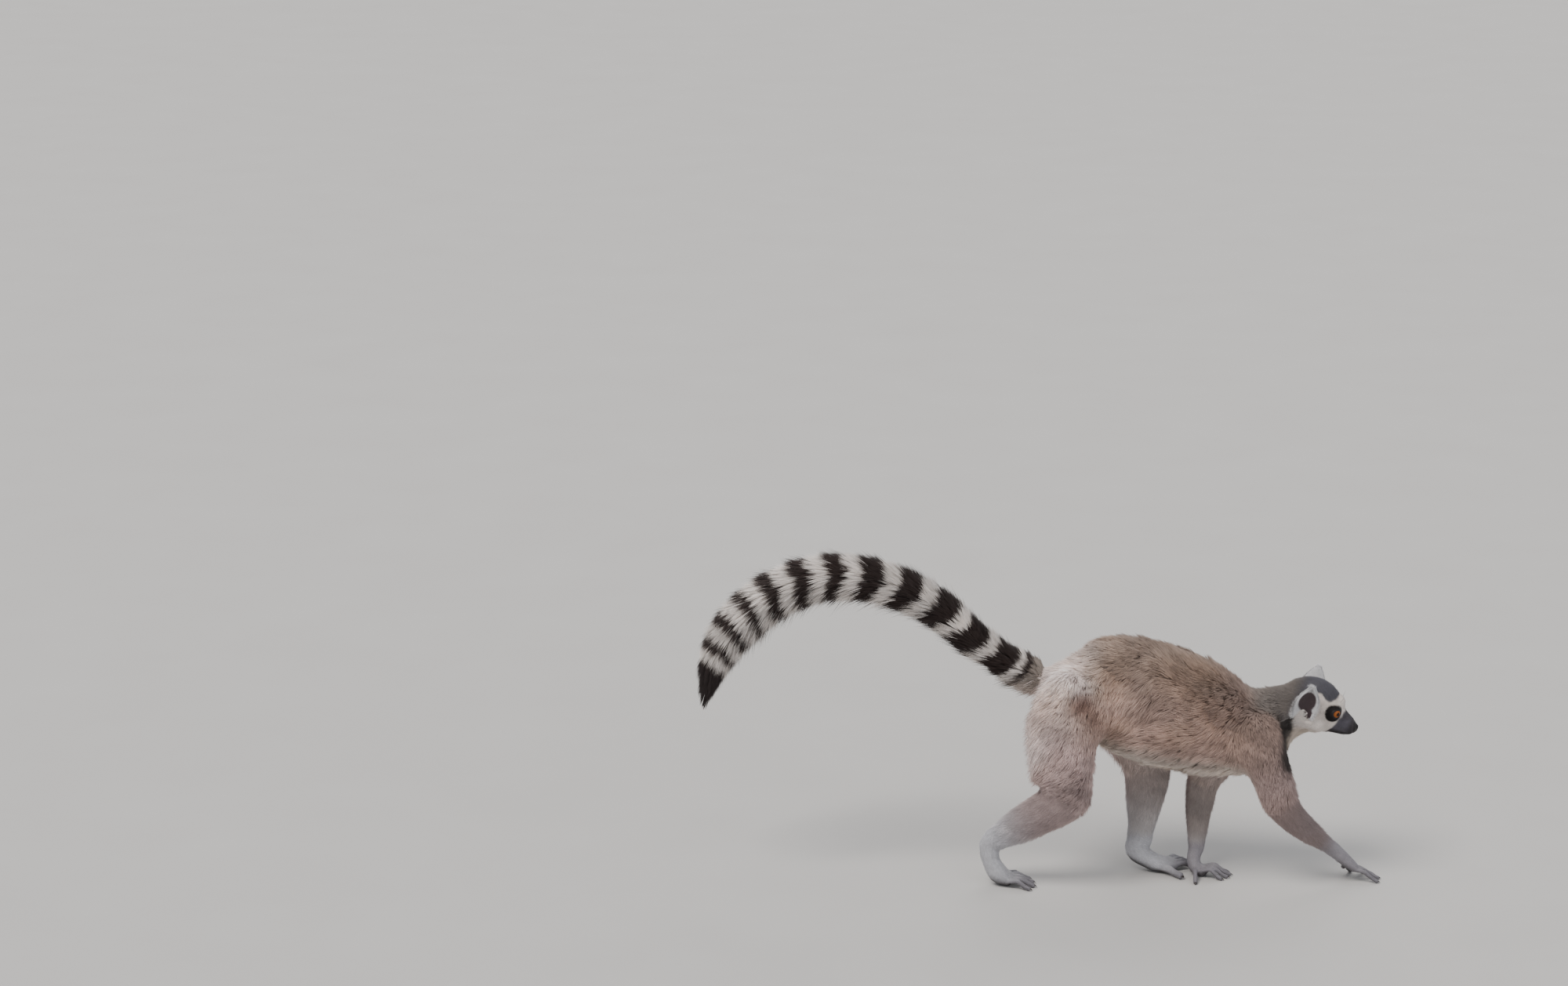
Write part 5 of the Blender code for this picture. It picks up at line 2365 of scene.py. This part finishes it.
COAT = (
    CoatPiece("coat_head", HEAD, "fur_white", 11, 0.10),
    CoatPiece("coat_neck", ("neck", "upper_arm_left", "upper_arm_right"), "fur_grey", 21),
    CoatPiece("coat_chest", ("chest",), "fur_grey", 12),
    CoatPiece("coat_belly", ("belly",), "fur_grey", 13),
    CoatPiece("coat_rump", ("rump",), "fur_grey", 14),
    CoatPiece("coat_thigh_left", ("thigh_left",), "fur_grey", 22),
    CoatPiece("coat_thigh_right", ("thigh_right",), "fur_grey", 15),
    CoatPiece("coat_shanks", ("shank_right", "shank_left"), "fur_grey", 23, 0.14),
    CoatPiece("coat_forearms", ("forearm_left", "forearm_right"), "fur_grey", 16, 0.14),
    CoatPiece("coat_paws", PAW_NODES, "fur_grey", 24, 0.22),
    CoatPiece("coat_tail_base", TAIL[:3], "fur_banded", 17, 0.12),
    CoatPiece("coat_tail_middle", TAIL[3:5], "fur_banded", 18, 0.12),
    CoatPiece("coat_tail_end", TAIL[5:], "fur_banded", 19, 0.12),
)

# ---- studio


@dataclass(frozen=True)
class Lamp:
    """One broad soft light from far off, given by the way it comes from."""

    name: str
    source: tuple[float, float, float]
    strength: float
    spread: float
    colour: tuple[float, float, float]

    def build(self) -> None:
        """Add the light."""
        data = bpy.data.lights.new(self.name, "SUN")
        data.energy = self.strength
        data.angle = math.radians(self.spread)
        data.color = self.colour
        lamp = added(self.name, data)
        lamp.location = self.source
        lamp.rotation_euler = Vector(self.source).to_track_quat("Z", "Y").to_euler()


@dataclass
class Studio:
    """A plain pale floor, soft light and the camera, in metres, degrees and millimetres of lens."""

    floor_size: float = 60.0
    sky: tuple[float, float, float, float] = (0.86, 0.90, 0.96, 1)
    sky_strength: float = 0.6
    camera_place: tuple[float, float, float] = (-0.2272, -4.3261, 1.607)
    camera_tilt: float = 75.492
    camera_turn: float = 1.1575
    lens: float = 85.0
    sensor: float = 36.0
    sight: float = 200
    lamps: tuple[Lamp, ...] = (
        Lamp("key", (-1.6, -1.5, 3.2), 2.3, 28, (1.0, 0.965, 0.92)),
        Lamp("fill", (2.6, -2.8, 1.4), 0.55, 60, (0.92, 0.96, 1.0)),
        Lamp("rim", (0.6, 2.6, 2.2), 0.6, 40, (1.0, 0.98, 0.95)),
    )

    def build(self) -> None:
        """Lay the floor, hang the lights and set the camera."""
        bpy.ops.object.select_all(action="DESELECT")
        bpy.ops.mesh.primitive_plane_add(size=self.floor_size)
        floor = bpy.context.object
        floor.name = "floor"
        floor.data.materials.append(self.floor_material())
        for lamp in self.lamps:
            lamp.build()
        world = bpy.data.worlds.new("studio")
        world.use_nodes = True
        sky = world.node_tree.nodes["Background"]
        Shading.fill(sky, {"Color": self.sky, "Strength": self.sky_strength})
        bpy.context.scene.world = world
        data = bpy.data.cameras.new("camera")
        data.lens = self.lens
        data.sensor_width = self.sensor
        data.sensor_fit = "HORIZONTAL"
        data.clip_end = self.sight
        camera = added("camera", data)
        camera.location = self.camera_place
        camera.rotation_euler = (math.radians(self.camera_tilt), 0, math.radians(self.camera_turn))
        bpy.context.scene.camera = camera

    def floor_material(self) -> Material:
        """Matt pale grey with faint mottling.

        Returns:
            The floor's material.
        """
        made = Shading("pale_floor")
        made.fill(made.shader, {"Roughness": 0.9})
        noise = made.noise(made.add("TexCoord", {}), "Object", 6, 2)
        shades = made.add("ValToRGB", {})
        shades.color_ramp.elements[0].color = (0.56, 0.54, 0.52, 1)
        shades.color_ramp.elements[1].color = (0.60, 0.58, 0.56, 1)
        made.join(noise, "Fac", shades, "Fac")
        made.join(shades, "Color", made.shader, "Base Color")
        return made.material


def main() -> None:
    """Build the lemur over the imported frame, then the studio."""
    logging.basicConfig(level=logging.INFO, format="%(message)s")
    bpy.ops.object.select_all(action="DESELECT")
    for old in ("Cube", "Light", "Camera"):
        if old in bpy.data.objects:
            bpy.data.objects.remove(bpy.data.objects[old])
    head = HeadFrame()
    bones = Bones(head)
    outline = Outline(bones)
    markings = Markings(bones)
    outline.stain(markings)
    face = Face(head)
    Skin(outline, markings, face).build()
    for side in (-1, 1):
        Eye(head, side).build()
    Claws().build()
    Whiskers(head, outline).build()
    share = 1.0
    for piece in COAT:
        piece.build(outline, markings, face, share)
    bpy.data.objects.remove(outline.body)
    Studio().build()


if __name__ == "__main__":
    main()
